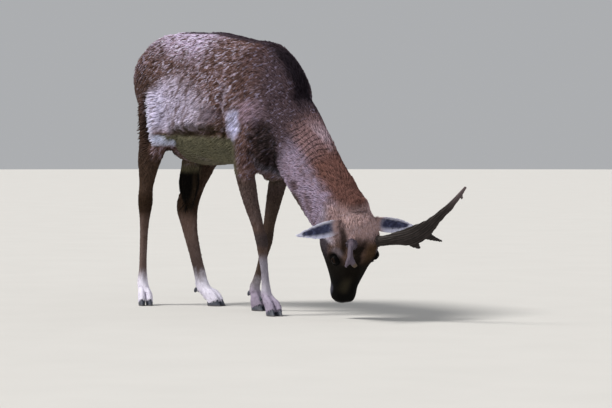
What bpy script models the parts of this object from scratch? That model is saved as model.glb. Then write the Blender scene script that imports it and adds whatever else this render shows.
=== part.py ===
"""Fallow deer buck, life size, standing with its head down to the ground.

A still model: nothing turns or slides. The body is modelled whole, as tubes whose oval
sections are carried along the limbs, neck and head. The tubes are fused, smoothed, and then
parted with thin cuts into the pieces that a person would name. Antlers, eyes, hooves and
the hair at the belly are solids of their own.

Metres. +X is forward along the body, +Y is the deer's left, +Z is up. The hooves stand on
z = 0. While it is modelled, x = 0 and y = 0 lie beside the right fore hoof, on the body's
middle plane. At the end everything moves so that the origin is under the middle of the model.
"""

import math

import bmesh
import bpy
import numpy as np
from mathutils import Matrix, Vector

# ---------------------------------------------------------------- driving dimensions

GAP = 0.0003             # slit between neighbouring pieces
VOXEL = 0.0075           # grain of the fused body
FLESH_TRIANGLES = 3700   # triangles of the whole body, ears not counted
SMOOTHING = 14           # passes over the fused body

# Trunk, from the rump to the breast: x, z of the section's middle, half width, height
# above the middle, depth below it.
TRUNK = [
    (-0.803, 0.812, 0.044, 0.044, 0.052),
    (-0.786, 0.810, 0.106, 0.100, 0.126),
    (-0.744, 0.805, 0.142, 0.145, 0.170),
    (-0.662, 0.798, 0.149, 0.172, 0.222),
    (-0.560, 0.778, 0.146, 0.195, 0.272),
    (-0.460, 0.750, 0.155, 0.221, 0.260),
    (-0.360, 0.728, 0.163, 0.230, 0.238),
    (-0.270, 0.710, 0.162, 0.233, 0.216),
    (-0.180, 0.692, 0.152, 0.238, 0.209),
    (-0.090, 0.680, 0.128, 0.235, 0.215),
    (-0.020, 0.662, 0.104, 0.210, 0.203),
    (0.040, 0.635, 0.080, 0.152, 0.155),
    (0.078, 0.610, 0.045, 0.078, 0.080),
]

# Neck, from inside the shoulders to inside the skull: x, y, z, half width, towards the
# nape, towards the throat.
NECK = [
    (-0.110, 0.000, 0.735, 0.100, 0.124, 0.150),
    (-0.030, 0.000, 0.690, 0.100, 0.123, 0.160),
    (0.050, 0.000, 0.628, 0.088, 0.117, 0.142),
    (0.130, 0.002, 0.532, 0.079, 0.127, 0.130),
    (0.204, 0.012, 0.438, 0.077, 0.127, 0.121),
    (0.280, 0.026, 0.362, 0.080, 0.115, 0.118),
    (0.350, 0.042, 0.312, 0.074, 0.082, 0.108),
]
NAPE_SIDE = (0.69, 0.0, 0.72)

# Head, in its own frame: along the skull (0 at the eyes, + to the poll), out of the face,
# and to the deer's left. Rows: along, middle of the section out of the face, half width,
# towards the face, towards the jaw.
HEAD = [
    (0.148, -0.050, 0.044, 0.035, 0.050),
    (0.120, -0.050, 0.071, 0.065, 0.082),
    (0.078, -0.054, 0.088, 0.086, 0.112),
    (0.034, -0.056, 0.095, 0.085, 0.120),
    (-0.010, -0.056, 0.090, 0.076, 0.106),
    (-0.052, -0.056, 0.073, 0.062, 0.078),
    (-0.094, -0.056, 0.056, 0.050, 0.057),
    (-0.132, -0.056, 0.044, 0.041, 0.045),
    (-0.166, -0.056, 0.042, 0.037, 0.040),
    (-0.185, -0.056, 0.033, 0.029, 0.029),
    (-0.194, -0.056, 0.012, 0.012, 0.011),
]
# The bony stump that carries each antler: along, out of the face, to the side, radius.
PEDICLE = [(0.062, -0.020, 0.034, 0.0180), (0.072, 0.020, 0.041, 0.0175),
           (0.079, 0.036, 0.047, 0.0165)]
ORBIT_OUT = 0.0600                # the rim of each eye socket stands this far to the side
HEAD_AT = (0.356, 0.048, 0.204)   # between the eyes, on the line of the forehead
HEAD_YAW = -6.0                   # to the deer's left, degrees
HEAD_TUCK = 27.0                  # chin towards the chest
HEAD_ROLL = 6.0                   # muzzle swung to the deer's left

# Sections shared by the two hind legs: half width, to the front, to the back.
HIND_SIZES = [
    (0.055, 0.100, 0.080),   # hip
    (0.066, 0.120, 0.092),   # middle of the thigh
    (0.057, 0.104, 0.082),   # stifle
    (0.040, 0.064, 0.058),   # gaskin
    (0.0225, 0.050, 0.042),   # above the hock
    (0.0230, 0.038, 0.055),   # hock
    (0.0175, 0.030, 0.044),  # below the hock
    (0.0150, 0.022, 0.031),  # cannon
    (0.0165, 0.0215, 0.029), # above the fetlock
    (0.0205, 0.0240, 0.030), # fetlock
    (0.0215, 0.0210, 0.0240),# pastern
    (0.0260, 0.0235, 0.0240),# coronet
]
HIND_RIGHT = [
    (-0.660, -0.078, 0.830), (-0.655, -0.098, 0.720), (-0.646, -0.114, 0.620),
    (-0.682, -0.118, 0.520), (-0.715, -0.112, 0.425), (-0.728, -0.107, 0.365),
    (-0.738, -0.105, 0.300), (-0.748, -0.104, 0.200), (-0.754, -0.103, 0.115),
    (-0.755, -0.103, 0.080), (-0.742, -0.105, 0.055), (-0.730, -0.109, 0.034),
]
HIND_LEFT = [
    (-0.655, 0.078, 0.830), (-0.640, 0.096, 0.720), (-0.620, 0.104, 0.620),
    (-0.672, 0.098, 0.520), (-0.722, 0.082, 0.415), (-0.733, 0.076, 0.350),
    (-0.720, 0.074, 0.290), (-0.680, 0.072, 0.190), (-0.639, 0.071, 0.100),
    (-0.627, 0.071, 0.068), (-0.598, 0.072, 0.046), (-0.580, 0.075, 0.032),
]

# Sections shared by the two fore legs, from the upper arm down.
FORE_SIZES = [
    (0.045, 0.085, 0.085),   # shoulder
    (0.045, 0.066, 0.074),   # upper arm
    (0.037, 0.045, 0.054),   # elbow
    (0.028, 0.034, 0.034),   # forearm
    (0.0205, 0.0235, 0.022), # above the knee
    (0.0215, 0.0235, 0.0225),# knee
    (0.0170, 0.0180, 0.0185), # below the knee
    (0.0145, 0.0160, 0.0165),# cannon
    (0.0160, 0.0170, 0.0185),# above the fetlock
    (0.0195, 0.0195, 0.0225),# fetlock
    (0.0210, 0.0195, 0.0205),# pastern
    (0.0255, 0.0235, 0.0240),# coronet
]
FORE_RIGHT = [
    (-0.080, -0.080, 0.680), (-0.085, -0.090, 0.590), (-0.095, -0.092, 0.505),
    (-0.080, -0.085, 0.400), (-0.052, -0.068, 0.290), (-0.042, -0.061, 0.245),
    (-0.042, -0.057, 0.200), (-0.040, -0.051, 0.140), (-0.038, -0.047, 0.095),
    (-0.037, -0.046, 0.070), (-0.022, -0.045, 0.048), (-0.010, -0.045, 0.033),
]
FORE_LEFT = [
    (-0.090, 0.078, 0.680), (-0.105, 0.080, 0.590), (-0.125, 0.076, 0.505),
    (-0.155, 0.066, 0.400), (-0.187, 0.061, 0.290), (-0.198, 0.060, 0.245),
    (-0.216, 0.061, 0.200), (-0.245, 0.063, 0.140), (-0.268, 0.064, 0.098),
    (-0.280, 0.065, 0.073), (-0.272, 0.066, 0.050), (-0.264, 0.067, 0.034),
]

LIMBS = {"hind_right": HIND_RIGHT, "hind_left": HIND_LEFT,
         "fore_right": FORE_RIGHT, "fore_left": FORE_LEFT}
FETLOCK = 9              # the row of a limb that is its fetlock

# Muscles and bones that stand out: middle, half axes, tilt in the side view in degrees.
MASSES = [
    ((-0.095, 0.093, 0.665), (0.085, 0.046, 0.150), -18),   # shoulder blade
    ((-0.030, 0.060, 0.560), (0.075, 0.050, 0.085), 0),     # point of the shoulder
    ((-0.040, 0.000, 0.500), (0.080, 0.055, 0.050), -20),   # brisket
    ((-0.680, 0.086, 0.785), (0.105, 0.060, 0.140), 8),     # haunch
    ((-0.560, 0.130, 0.620), (0.050, 0.020, 0.062), 35),    # fold of the flank
]

LIMB_TWIST = {"hind": 1.25, "fore": 0.8}   # heading of a pastern, as a share of the toes'
# toe heading in degrees (+ to the left) and middle of the hoof pair on the ground
FEET = {
    "fore_right": (-8.0, (0.010, -0.045)),
    "fore_left": (8.0, (-0.248, 0.067)),
    "hind_right": (-25.0, (-0.714, -0.115)),
    "hind_left": (20.0, (-0.556, 0.082)),
}


# ---------------------------------------------------------------- surfaces in numpy

def through(rows, count):
    """Smooth curve through the rows: cubic pieces whose slopes are those of the parabola
    through each row and its two neighbours. All columns run along the same arc length."""
    rows = np.asarray(rows, float)
    chord = np.linalg.norm(np.diff(rows[:, :3], axis=0), axis=1)
    knot = np.concatenate([[0.0], np.cumsum(chord)])
    rise = np.diff(rows, axis=0) / chord[:, None]
    slope = np.empty_like(rows)
    slope[0], slope[-1] = rise[0], rise[-1]
    slope[1:-1] = rise[:-1] * chord[1:, None] + rise[1:] * chord[:-1, None]
    slope[1:-1] /= (chord[:-1] + chord[1:])[:, None]
    at = np.linspace(0.0, knot[-1], count)
    piece = np.clip(np.searchsorted(knot, at, side="right") - 1, 0, len(chord) - 1)
    long = chord[piece][:, None]
    t = ((at - knot[piece]) / chord[piece])[:, None]
    return ((2 * t**3 - 3 * t**2 + 1) * rows[piece] + (t**3 - 2 * t**2 + t) * long * slope[piece]
            + (3 * t**2 - 2 * t**3) * rows[piece + 1] + (t**3 - t**2) * long * slope[piece + 1])


def tube(stations, front, rings=36, around=28, square=2.0):
    """Oval sections carried along a path. Each station is x, y, z, half width, extent to
    the front and extent to the back; front is the direction in which the sections face, one
    for all or one for each ring.
    A section is (front*cos a, side*sin a), with both raised to the power 2/square."""
    rows = through(stations, rings)
    way = np.gradient(rows[:, :3], axis=0)
    way /= np.linalg.norm(way, axis=1)[:, None]
    front = np.asarray(front, float) + 0 * way
    facing = front - (front * way).sum(1)[:, None] * way
    facing /= np.linalg.norm(facing, axis=1)[:, None]
    side = np.cross(facing, way)
    angle = np.arange(around) * 2 * np.pi / around
    c = np.sign(np.cos(angle)) * np.abs(np.cos(angle)) ** (2 / square)
    s = np.sign(np.sin(angle)) * np.abs(np.sin(angle)) ** (2 / square)
    reach = np.where(c > 0, rows[:, 4:5], rows[:, 5:6]) * c
    return (rows[:, None, :3] + reach[..., None] * facing[:, None]
            + (rows[:, 3:4] * s)[..., None] * side[:, None])


def close(grid):
    """Vertices and faces of a tube, closed by a fan at each end."""
    rings, around, _ = grid.shape
    verts = np.vstack([grid.reshape(-1, 3), grid[0].mean(0), grid[-1].mean(0)])
    ring, step = np.meshgrid(np.arange(rings - 1), np.arange(around), indexing="ij")
    a = (ring * around + step).ravel()
    b = (ring * around + (step + 1) % around).ravel()
    faces = [tuple(f) for f in np.stack([a, b, b + around, a + around], 1).tolist()]
    first, last = rings * around, rings * around + 1
    top = (rings - 1) * around
    for j in range(around):
        k = (j + 1) % around
        faces.append((first, k, j))
        faces.append((last, top + j, top + k))
    return verts, faces


def ellipsoid(middle, half, tilt, rings=16, around=24):
    """A ball stretched to three half axes and turned in the side view."""
    lat = np.linspace(0, np.pi, rings + 2)[1:-1, None]
    lon = np.arange(around)[None] * 2 * np.pi / around
    ball = np.stack([np.sin(lat) * np.cos(lon), np.sin(lat) * np.sin(lon),
                     np.cos(lat) * np.ones_like(lon)], -1) * np.asarray(half)
    turn = math.radians(tilt)
    x = ball[..., 0] * math.cos(turn) + ball[..., 2] * math.sin(turn)
    z = ball[..., 2] * math.cos(turn) - ball[..., 0] * math.sin(turn)
    return np.stack([x, ball[..., 1], z], -1) + np.asarray(middle)


def head_axes():
    """Columns: along the skull to the poll, out of the face, to the deer's left."""
    yaw, tuck, roll = (math.radians(v) for v in (HEAD_YAW, HEAD_TUCK, HEAD_ROLL))
    along = Vector((math.sin(tuck), 0, math.cos(tuck)))
    face = Vector((math.cos(tuck), 0, -math.sin(tuck)))
    left = Vector((0, 1, 0))
    about_face = Matrix.Rotation(roll, 3, face)
    turned = Matrix.Rotation(yaw, 3, "Z")
    return np.array([turned @ (about_face @ v) for v in (along, face, left)]).T


HEAD_AXES = head_axes()


def in_head(points):
    """From the head's frame (along, out of the face, left) to the deer's."""
    return np.asarray(points, float) @ HEAD_AXES.T + np.asarray(HEAD_AT)


def head_tube(rows, **form):
    """A tube given in the head's frame, its sections facing out of the face."""
    rows = np.array(rows, float)
    rows[:, :3] = in_head(rows[:, :3])
    return tube(rows, HEAD_AXES[:, 1], **form)


def body_shells():
    """Every closed shell that is fused into the body."""
    shells = [tube([(x, 0, z, w, up, down) for x, z, w, up, down in TRUNK], (0, 0, 1), 44, 36)]
    shells.append(tube(NECK, NAPE_SIDE, 30, 32))
    shells.append(head_tube([(a, f, 0, w, d, v) for a, f, w, d, v in HEAD], rings=40, around=32,
                            square=2.25))
    for sign in (1, -1):
        orbit = ellipsoid((0.0, -0.020, sign * ORBIT_OUT), (0.032, 0.028, 0.026), 0)
        shells.append(in_head(orbit))
        pedicle = [(a, f, sign * left, r, r, r) for a, f, left, r in PEDICLE]
        shells.append(head_tube(pedicle, rings=8, around=16))
    for limb, points in LIMBS.items():
        turn = np.radians(FEET[limb][0]) * np.linspace(0.2, LIMB_TWIST[limb[:4]], 60)
        rows = [p + s for p, s in zip(points, HIND_SIZES if "hind" in limb else FORE_SIZES)]
        fronts = np.stack([np.cos(turn), np.sin(turn), np.full(60, 0.15)], 1)
        shells.append(tube(rows, fronts, 60, 24))
    for middle, half, tilt in MASSES:
        for sign in ((1, -1) if middle[1] else (1,)):
            shells.append(ellipsoid((middle[0], sign * middle[1], middle[2]), half, tilt))
    return shells


# ---------------------------------------------------------------- antlers, ears, hooves, tail

# Antlers in the head's frame: along, out of the face, left; half width across the blade,
# then half its thickness.
ANTLER_LEFT = [
    (0.078, 0.036, 0.047, 0.0165, 0.0150),
    (0.087, 0.053, 0.060, 0.0165, 0.0130),
    (0.104, 0.075, 0.084, 0.0210, 0.0110),
    (0.123, 0.103, 0.105, 0.0290, 0.0095),
    (0.146, 0.127, 0.127, 0.0330, 0.0085),
    (0.174, 0.146, 0.148, 0.0290, 0.0080),
    (0.220, 0.166, 0.172, 0.0180, 0.0070),
    (0.271, 0.185, 0.206, 0.0120, 0.0060),
    (0.338, 0.193, 0.245, 0.0040, 0.0035),
]
ANTLER_LEFT_TINES = {
    "brow": [(0.119, 0.114, 0.119, 0.0200, 0.0085), (0.104, 0.124, 0.135, 0.0130, 0.0065),
             (0.092, 0.133, 0.150, 0.0030, 0.0030)],
    "second": [(0.148, 0.137, 0.153, 0.0170, 0.0080), (0.136, 0.150, 0.180, 0.0090, 0.0060),
               (0.128, 0.164, 0.209, 0.0025, 0.0025)],
}
ANTLER_RIGHT = [
    (0.078, 0.036, -0.047, 0.0165, 0.0150),
    (0.086, 0.058, -0.060, 0.0145, 0.0135),
    (0.080, 0.082, -0.075, 0.0135, 0.0120),
    (0.062, 0.104, -0.080, 0.0150, 0.0110),
    (0.044, 0.120, -0.068, 0.0060, 0.0060),
]
ANTLER_RIGHT_TINES = {
    "outer": [(0.068, 0.098, -0.080, 0.0110, 0.0090), (0.056, 0.112, -0.096, 0.0070, 0.0060),
              (0.048, 0.120, -0.106, 0.0025, 0.0025)],
}
BLADE_FACES = (0.45, 0.79, -0.42)    # the left blade's flat side, in the head's frame

# Ears in the head's frame, +1 the left one: base, tip and the way the trough opens. A deer
# turns each ear by itself.
EARS = {
    1: ((0.115, -0.033, 0.056), (0.069, -0.046, 0.216), (0.10, 0.93, -0.20)),
    -1: ((0.115, -0.036, -0.058), (0.077, -0.058, -0.196), (0.20, 0.88, -0.38)),
}


def blade(rows, flat, rings, around):
    """A tube in the head's frame whose section is an oval of two half axes."""
    rows = np.array([(a, f, left, w, t, t) for a, f, left, w, t in rows])
    rows[:, :3] = in_head(rows[:, :3])
    return tube(rows, HEAD_AXES @ np.asarray(flat, float), rings, around)


def ear_grid(sign, rings=11, around=14):
    """A leaf rolled into a trough: its width swells and runs to a point, its two edges
    curl towards the opening, and its wall is a closed shell about 5 mm thick."""
    t = np.linspace(0.0, 1.0, rings)[:, None]
    wide = 0.033 * np.sin(np.pi * np.clip(0.30 + 0.68 * t, 0, 1)) ** 1.1 + 0.0022
    curl = 1.25 - 0.55 * t
    u = np.concatenate([np.linspace(-1, 1, around // 2), np.linspace(1, -1, around // 2)])[None]
    inner = np.concatenate([np.zeros(around // 2), np.ones(around // 2)])[None]
    wall = 0.0028 * (1 - 0.45 * t)
    radius = wide / curl
    bend = u * curl
    out = radius * np.sin(bend)
    deep = radius * (1 - np.cos(bend)) + wall * (inner * 2 - 1)
    base, tip, opening = (np.array(v, float) for v in EARS[sign])
    way = tip - base
    opening = opening - (opening @ way) / (way @ way) * way
    opening /= np.linalg.norm(opening)
    across = np.cross(way / np.linalg.norm(way), opening)
    line = base + t * way
    return in_head(line[:, None] + out[..., None] * across + deep[..., None] * opening)


def close_strip(grid):
    """Vertices and faces of a tube whose section is a bent strip: each end is closed from
    edge to edge of the strip."""
    rings, around, _ = grid.shape
    verts, faces = close(grid)
    faces = faces[:(rings - 1) * around]
    top = (rings - 1) * around
    for j in range(around // 2 - 1):
        k = around - 1 - j
        faces.append((j, j + 1, k - 1, k))
        faces.append((top + k, top + k - 1, top + j + 1, top + j))
    return verts[:rings * around], faces


TAIL = [
    (-0.752, 0.0, 0.885, 0.030, 0.020, 0.020),
    (-0.783, 0.0, 0.848, 0.028, 0.020, 0.018),
    (-0.803, 0.0, 0.780, 0.024, 0.016, 0.015),
    (-0.808, 0.0, 0.710, 0.018, 0.012, 0.012),
    (-0.805, 0.0, 0.655, 0.008, 0.006, 0.006),
]


# Dark hair at the end of the sheath under the belly.
BRUSH = [
    (-0.588, 0.0, 0.550, 0.026, 0.034, 0.034),
    (-0.600, 0.0, 0.490, 0.033, 0.043, 0.040),
    (-0.607, 0.0, 0.440, 0.033, 0.041, 0.038),
    (-0.612, 0.0, 0.395, 0.022, 0.027, 0.025),
    (-0.615, 0.0, 0.352, 0.006, 0.007, 0.007),
]

EYE_AT = (-0.003, -0.013, 0.0715)    # in the head's frame
EYE_RADIUS = 0.0150

CLAW_LENGTH = 0.060
CLAW_HALF_WIDTH = 0.0118
CLAW_FRONT = 0.040
CLAW_HEEL = 0.024
CLAW_APART = 0.0130                  # from the foot's middle to a claw's middle
# Dewclaw: behind the fetlock as a share of its depth there, below it, to each side; its half
# axes and its lean.
DEW_AT = (-0.98, -0.014, 0.0115)
DEW_HALF = (0.0085, 0.0068, 0.0130)
DEW_LEAN = 28.0


# ---------------------------------------------------------------- pieces in Blender

def clear_scene():
    for thing in list(bpy.data.objects):
        bpy.data.objects.remove(thing)


def material(name, colour, roughness):
    mat = bpy.data.materials.new(name)
    mat.use_nodes = True
    shader = mat.node_tree.nodes["Principled BSDF"]
    shader.inputs["Base Color"].default_value = (*colour, 1.0)
    shader.inputs["Roughness"].default_value = roughness
    return mat


def add_object(name, mesh, mat=None):
    thing = bpy.data.objects.new(name, mesh)
    bpy.context.scene.collection.objects.link(thing)
    if mat:
        mesh.materials.clear()
        mesh.materials.append(mat)
    return thing


def mesh_of(verts, faces, name="shell"):
    mesh = bpy.data.meshes.new(name)
    mesh.from_pydata(np.asarray(verts, float).tolist(), [], [tuple(f) for f in faces])
    mesh.update()
    return mesh


def outward(mesh):
    """Merged, triangulated and with its faces turned out."""
    bm = bmesh.new()
    bm.from_mesh(mesh)
    bmesh.ops.remove_doubles(bm, verts=bm.verts, dist=1e-6)
    bmesh.ops.recalc_face_normals(bm, faces=bm.faces)
    if bm.calc_volume(signed=True) < 0:
        bmesh.ops.reverse_faces(bm, faces=bm.faces)
    bmesh.ops.triangulate(bm, faces=bm.faces)
    bm.to_mesh(mesh)
    bm.free()
    return mesh


def modified(mesh, kind, **settings):
    """A new mesh: the given one as one modifier leaves it."""
    thing = add_object("work", mesh)
    step = thing.modifiers.new("step", kind)
    for key, value in settings.items():
        setattr(step, key, value)
    bpy.context.view_layer.update()
    seen = thing.evaluated_get(bpy.context.evaluated_depsgraph_get())
    result = bpy.data.meshes.new_from_object(seen)
    bpy.data.objects.remove(thing)
    return result


def cut(mesh, cutter):
    """The mesh less the cutter's volume."""
    tool = add_object("cutter", cutter)
    result = modified(mesh, "BOOLEAN", operation="DIFFERENCE", solver="EXACT", object=tool)
    bpy.data.objects.remove(tool)
    return outward(result)


def swollen(mesh, by):
    """A copy whose surface lies a little further out."""
    copy = mesh.copy()
    bm = bmesh.new()
    bm.from_mesh(copy)
    bm.normal_update()
    places = [v.co + v.normal * by for v in bm.verts]
    for vert, place in zip(bm.verts, places):
        vert.co = place
    bm.to_mesh(copy)
    bm.free()
    return copy


def shell_mesh(grid):
    return outward(mesh_of(*close(grid)))


def relaxed(verts, edges, weight, rounds):
    """Each round moves every point towards the mean of its neighbours and then a little
    further back, which rounds creases and keeps the volume."""
    degree = np.bincount(edges.ravel(), minlength=len(verts))[:, None]
    for _ in range(rounds):
        for pull in (0.5, -0.53):
            total = np.zeros_like(verts)
            for axis in range(3):
                total[:, axis] = (
                    np.bincount(edges[:, 0], verts[edges[:, 1], axis], len(verts))
                    + np.bincount(edges[:, 1], verts[edges[:, 0], axis], len(verts)))
            verts = verts + pull * weight[:, None] * (total / degree - verts)
    return verts


def rise(value, low, high):
    """0 below low, 1 above high, and smooth between."""
    t = np.clip((value - low) / (high - low), 0, 1)
    return t * t * (3 - 2 * t)


def fused_body():
    """All shells fused into one closed surface, smoothed most where the trunk's muscles
    and limbs run together."""
    verts, faces = [], []
    for grid in body_shells():
        more, rings = close(grid)
        start = len(verts)
        verts.extend(more.tolist())
        faces.extend(tuple(i + start for i in face) for face in rings)
    joined = outward(mesh_of(verts, faces))
    body = modified(joined, "REMESH", mode="VOXEL", voxel_size=VOXEL)
    place = np.empty(len(body.vertices) * 3)
    body.vertices.foreach_get("co", place)
    place = place.reshape(-1, 3)
    edges = np.empty(len(body.edges) * 2, int)
    body.edges.foreach_get("vertices", edges)
    edges = edges.reshape(-1, 2)
    place = relaxed(place, edges, np.ones(len(place)), SMOOTHING)
    trunk = rise(place[:, 2], 0.42, 0.56) * rise(-place[:, 0], -0.30, -0.05)
    place = relaxed(place, edges, trunk, 3 * SMOOTHING)
    body.vertices.foreach_set("co", place.ravel())
    body.update()
    triangles = 2 * len(body.polygons)
    body = modified(body, "DECIMATE", decimate_type="COLLAPSE", ratio=FLESH_TRIANGLES / triangles)
    return outward(body)


def slab(middle, normal, wide, high):
    """A thin plate that cuts right through a limb: its middle, the direction it faces, and
    its half sizes across the body and along its own height."""
    normal = Vector(normal).normalized()
    across = Vector((0, 1, 0))
    across = (across - across.dot(normal) * normal).normalized()
    up = normal.cross(across)
    middle = Vector(middle)
    bm = bmesh.new()
    corners = [bm.verts.new(middle + a * wide * across + b * high * up + c * GAP / 2 * normal)
               for c in (-1, 1) for a, b in ((-1, -1), (1, -1), (1, 1), (-1, 1))]
    for face in ((0, 3, 2, 1), (4, 5, 6, 7), (0, 1, 5, 4), (1, 2, 6, 5), (2, 3, 7, 6), (3, 0, 4, 7)):
        bm.faces.new([corners[i] for i in face])
    mesh = bpy.data.meshes.new("slab")
    bm.to_mesh(mesh)
    bm.free()
    return outward(mesh)


def loose_parts(mesh):
    """Each closed body in the mesh as a mesh of its own."""
    bm = bmesh.new()
    bm.from_mesh(mesh)
    bm.faces.index_update()
    left = set(bm.faces)
    parts = []
    while left:
        seed = left.pop()
        group, queue = [seed], [seed]
        while queue:
            for edge in queue.pop().edges:
                for face in edge.link_faces:
                    if face in left:
                        left.remove(face)
                        group.append(face)
                        queue.append(face)
        order = {}
        faces = []
        for face in sorted(group, key=lambda f: f.index):
            faces.append([order.setdefault(v, len(order)) for v in face.verts])
        parts.append(mesh_of([v.co[:] for v in order], faces))
    bm.free()
    return parts


def claw(heading, foot, side):
    """One claw of a hoof: a pointed sole, flat on the ground, ruled up to a smaller, tilted
    oval at the coronet. side is +1 for the claw on the foot's left."""
    around = 14
    angle = np.arange(around) * 2 * np.pi / around
    long = np.cos(angle)
    wide = np.sin(angle) * (1 - 0.42 * np.clip(long, 0, 1) ** 2)
    rows = []
    for level in np.linspace(0, 1, 4):
        length = CLAW_LENGTH / 2 * (1 - 0.36 * level)
        width = CLAW_HALF_WIDTH * (1 - 0.10 * level + 0.10 * math.sin(math.pi * level))
        back = -0.0125 * level
        height = (CLAW_HEEL + CLAW_FRONT) / 2 + (CLAW_FRONT - CLAW_HEEL) / 2 * long
        inner = np.where(wide * side < 0, 0.90, 1.0)
        rows.append(np.stack([back + length * long, width * wide * inner, height * level], 1))
    grid = np.array(rows)
    splay = math.radians(3.0) * side
    x = grid[..., 0] * math.cos(splay) - grid[..., 1] * math.sin(splay)
    y = grid[..., 0] * math.sin(splay) + grid[..., 1] * math.cos(splay) + side * CLAW_APART
    turn = math.radians(heading)
    grid = np.stack([foot[0] + x * math.cos(turn) - y * math.sin(turn),
                     foot[1] + x * math.sin(turn) + y * math.cos(turn), grid[..., 2]], -1)
    return shell_mesh(grid)


def dewclaw(foot, side):
    """The small horn behind a fetlock. side is +1 for the one on the foot's left."""
    back = (HIND_SIZES if "hind" in foot else FORE_SIZES)[FETLOCK][2]
    ball = ellipsoid((DEW_AT[0] * back, side * DEW_AT[2], DEW_AT[1]), DEW_HALF, DEW_LEAN, 5, 8)
    turn = math.radians(FEET[foot][0] * LIMB_TWIST[foot[:4]])
    fetlock = LIMBS[foot][FETLOCK]
    x = ball[..., 0] * math.cos(turn) - ball[..., 1] * math.sin(turn)
    y = ball[..., 0] * math.sin(turn) + ball[..., 1] * math.cos(turn)
    return shell_mesh(np.stack([x, y, ball[..., 2]], -1) + np.asarray(fetlock))


# Cuts through the body: middle, direction, half width across, half height.
SHANK_TOP, HOCK_CUT, FETLOCK_CUT = 0.490, 0.318, 0.098
FOREARM_TOP, KNEE_CUT = 0.462, 0.212
CUTS = [
    ((0.000, 0.0, 0.645), (0.99, 0.0, 0.135), 0.20, 0.29),      # trunk from neck
    ((0.300, 0.030, 0.360), (0.82, 0.0, -0.57), 0.13, 0.17),    # neck from head
    ((-0.540, 0.0, 0.740), (1.0, 0.0, -0.10), 0.24, 0.30),      # trunk from hindquarters
]


def limb_at(points, height):
    """Where the line of a limb passes a height."""
    line = through([p + (0, 0, 0) for p in points], 200)
    near = np.abs(line[:, 2] - height).argmin()
    way = line[min(near + 1, 199)] - line[max(near - 1, 0)]
    return tuple(line[near, :3]), tuple(way[:3])


def limb_cuts():
    """Level cuts at the tops of shank and forearm, and square ones through the limb below."""
    cuts = []
    for limb, points in LIMBS.items():
        levels = (SHANK_TOP, HOCK_CUT) if "hind" in limb else (FOREARM_TOP, KNEE_CUT)
        for level, reach in zip(levels + (FETLOCK_CUT,), (0.085, 0.058, 0.038)):
            middle, way = limb_at(points, level)
            if level in (SHANK_TOP, FOREARM_TOP):
                way = (0.0, 0.0, -1.0)
            cuts.append((middle, way, min(reach, 0.060), reach))
    return cuts


# A point inside each piece of the parted body.
FLESH = {
    "trunk": (-0.25, 0.0, 0.70),
    "hindquarters": (-0.66, 0.0, 0.78),
    "neck": (0.16, 0.0, 0.49),
    "head": (0.35, 0.045, 0.25),
}
for _limb, _points in LIMBS.items():
    _upper = "shank" if "hind" in _limb else "forearm"
    for _name, _height in ((_upper, 0.40), ("cannon", 0.17), ("pastern", 0.072)):
        FLESH[f"{_limb}_{_name}"] = limb_at(_points, _height)[0]


def part_body(body):
    """Cuts the body and names what comes away."""
    plates = bmesh.new()
    for middle, way, wide, high in CUTS + limb_cuts():
        plates.from_mesh(slab(middle, way, wide, high))
    cutter = bpy.data.meshes.new("plates")
    plates.to_mesh(cutter)
    plates.free()
    parts = loose_parts(cut(body, cutter))
    centres = []
    for part in parts:
        spots = np.empty(len(part.vertices) * 3)
        part.vertices.foreach_get("co", spots)
        spots = spots.reshape(-1, 3)
        centres.append((spots.min(0) + spots.max(0)) / 2)
    named = {}
    for name, inside in FLESH.items():
        gaps = [np.linalg.norm(c - np.asarray(inside)) for c in centres]
        named[name] = parts[int(np.argmin(gaps))]
    return named


def move_to_middle(meshes):
    """Moves all meshes so that the origin is on the ground under the middle of them all."""
    corners = []
    for mesh in meshes:
        place = np.empty(len(mesh.vertices) * 3)
        mesh.vertices.foreach_get("co", place)
        place = place.reshape(-1, 3)
        corners += [place.min(0), place.max(0)]
    low, high = np.min(corners, 0), np.max(corners, 0)
    shift = Matrix.Translation((-(low[0] + high[0]) / 2, -(low[1] + high[1]) / 2, 0.0))
    for mesh in meshes:
        mesh.transform(shift)


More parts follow.
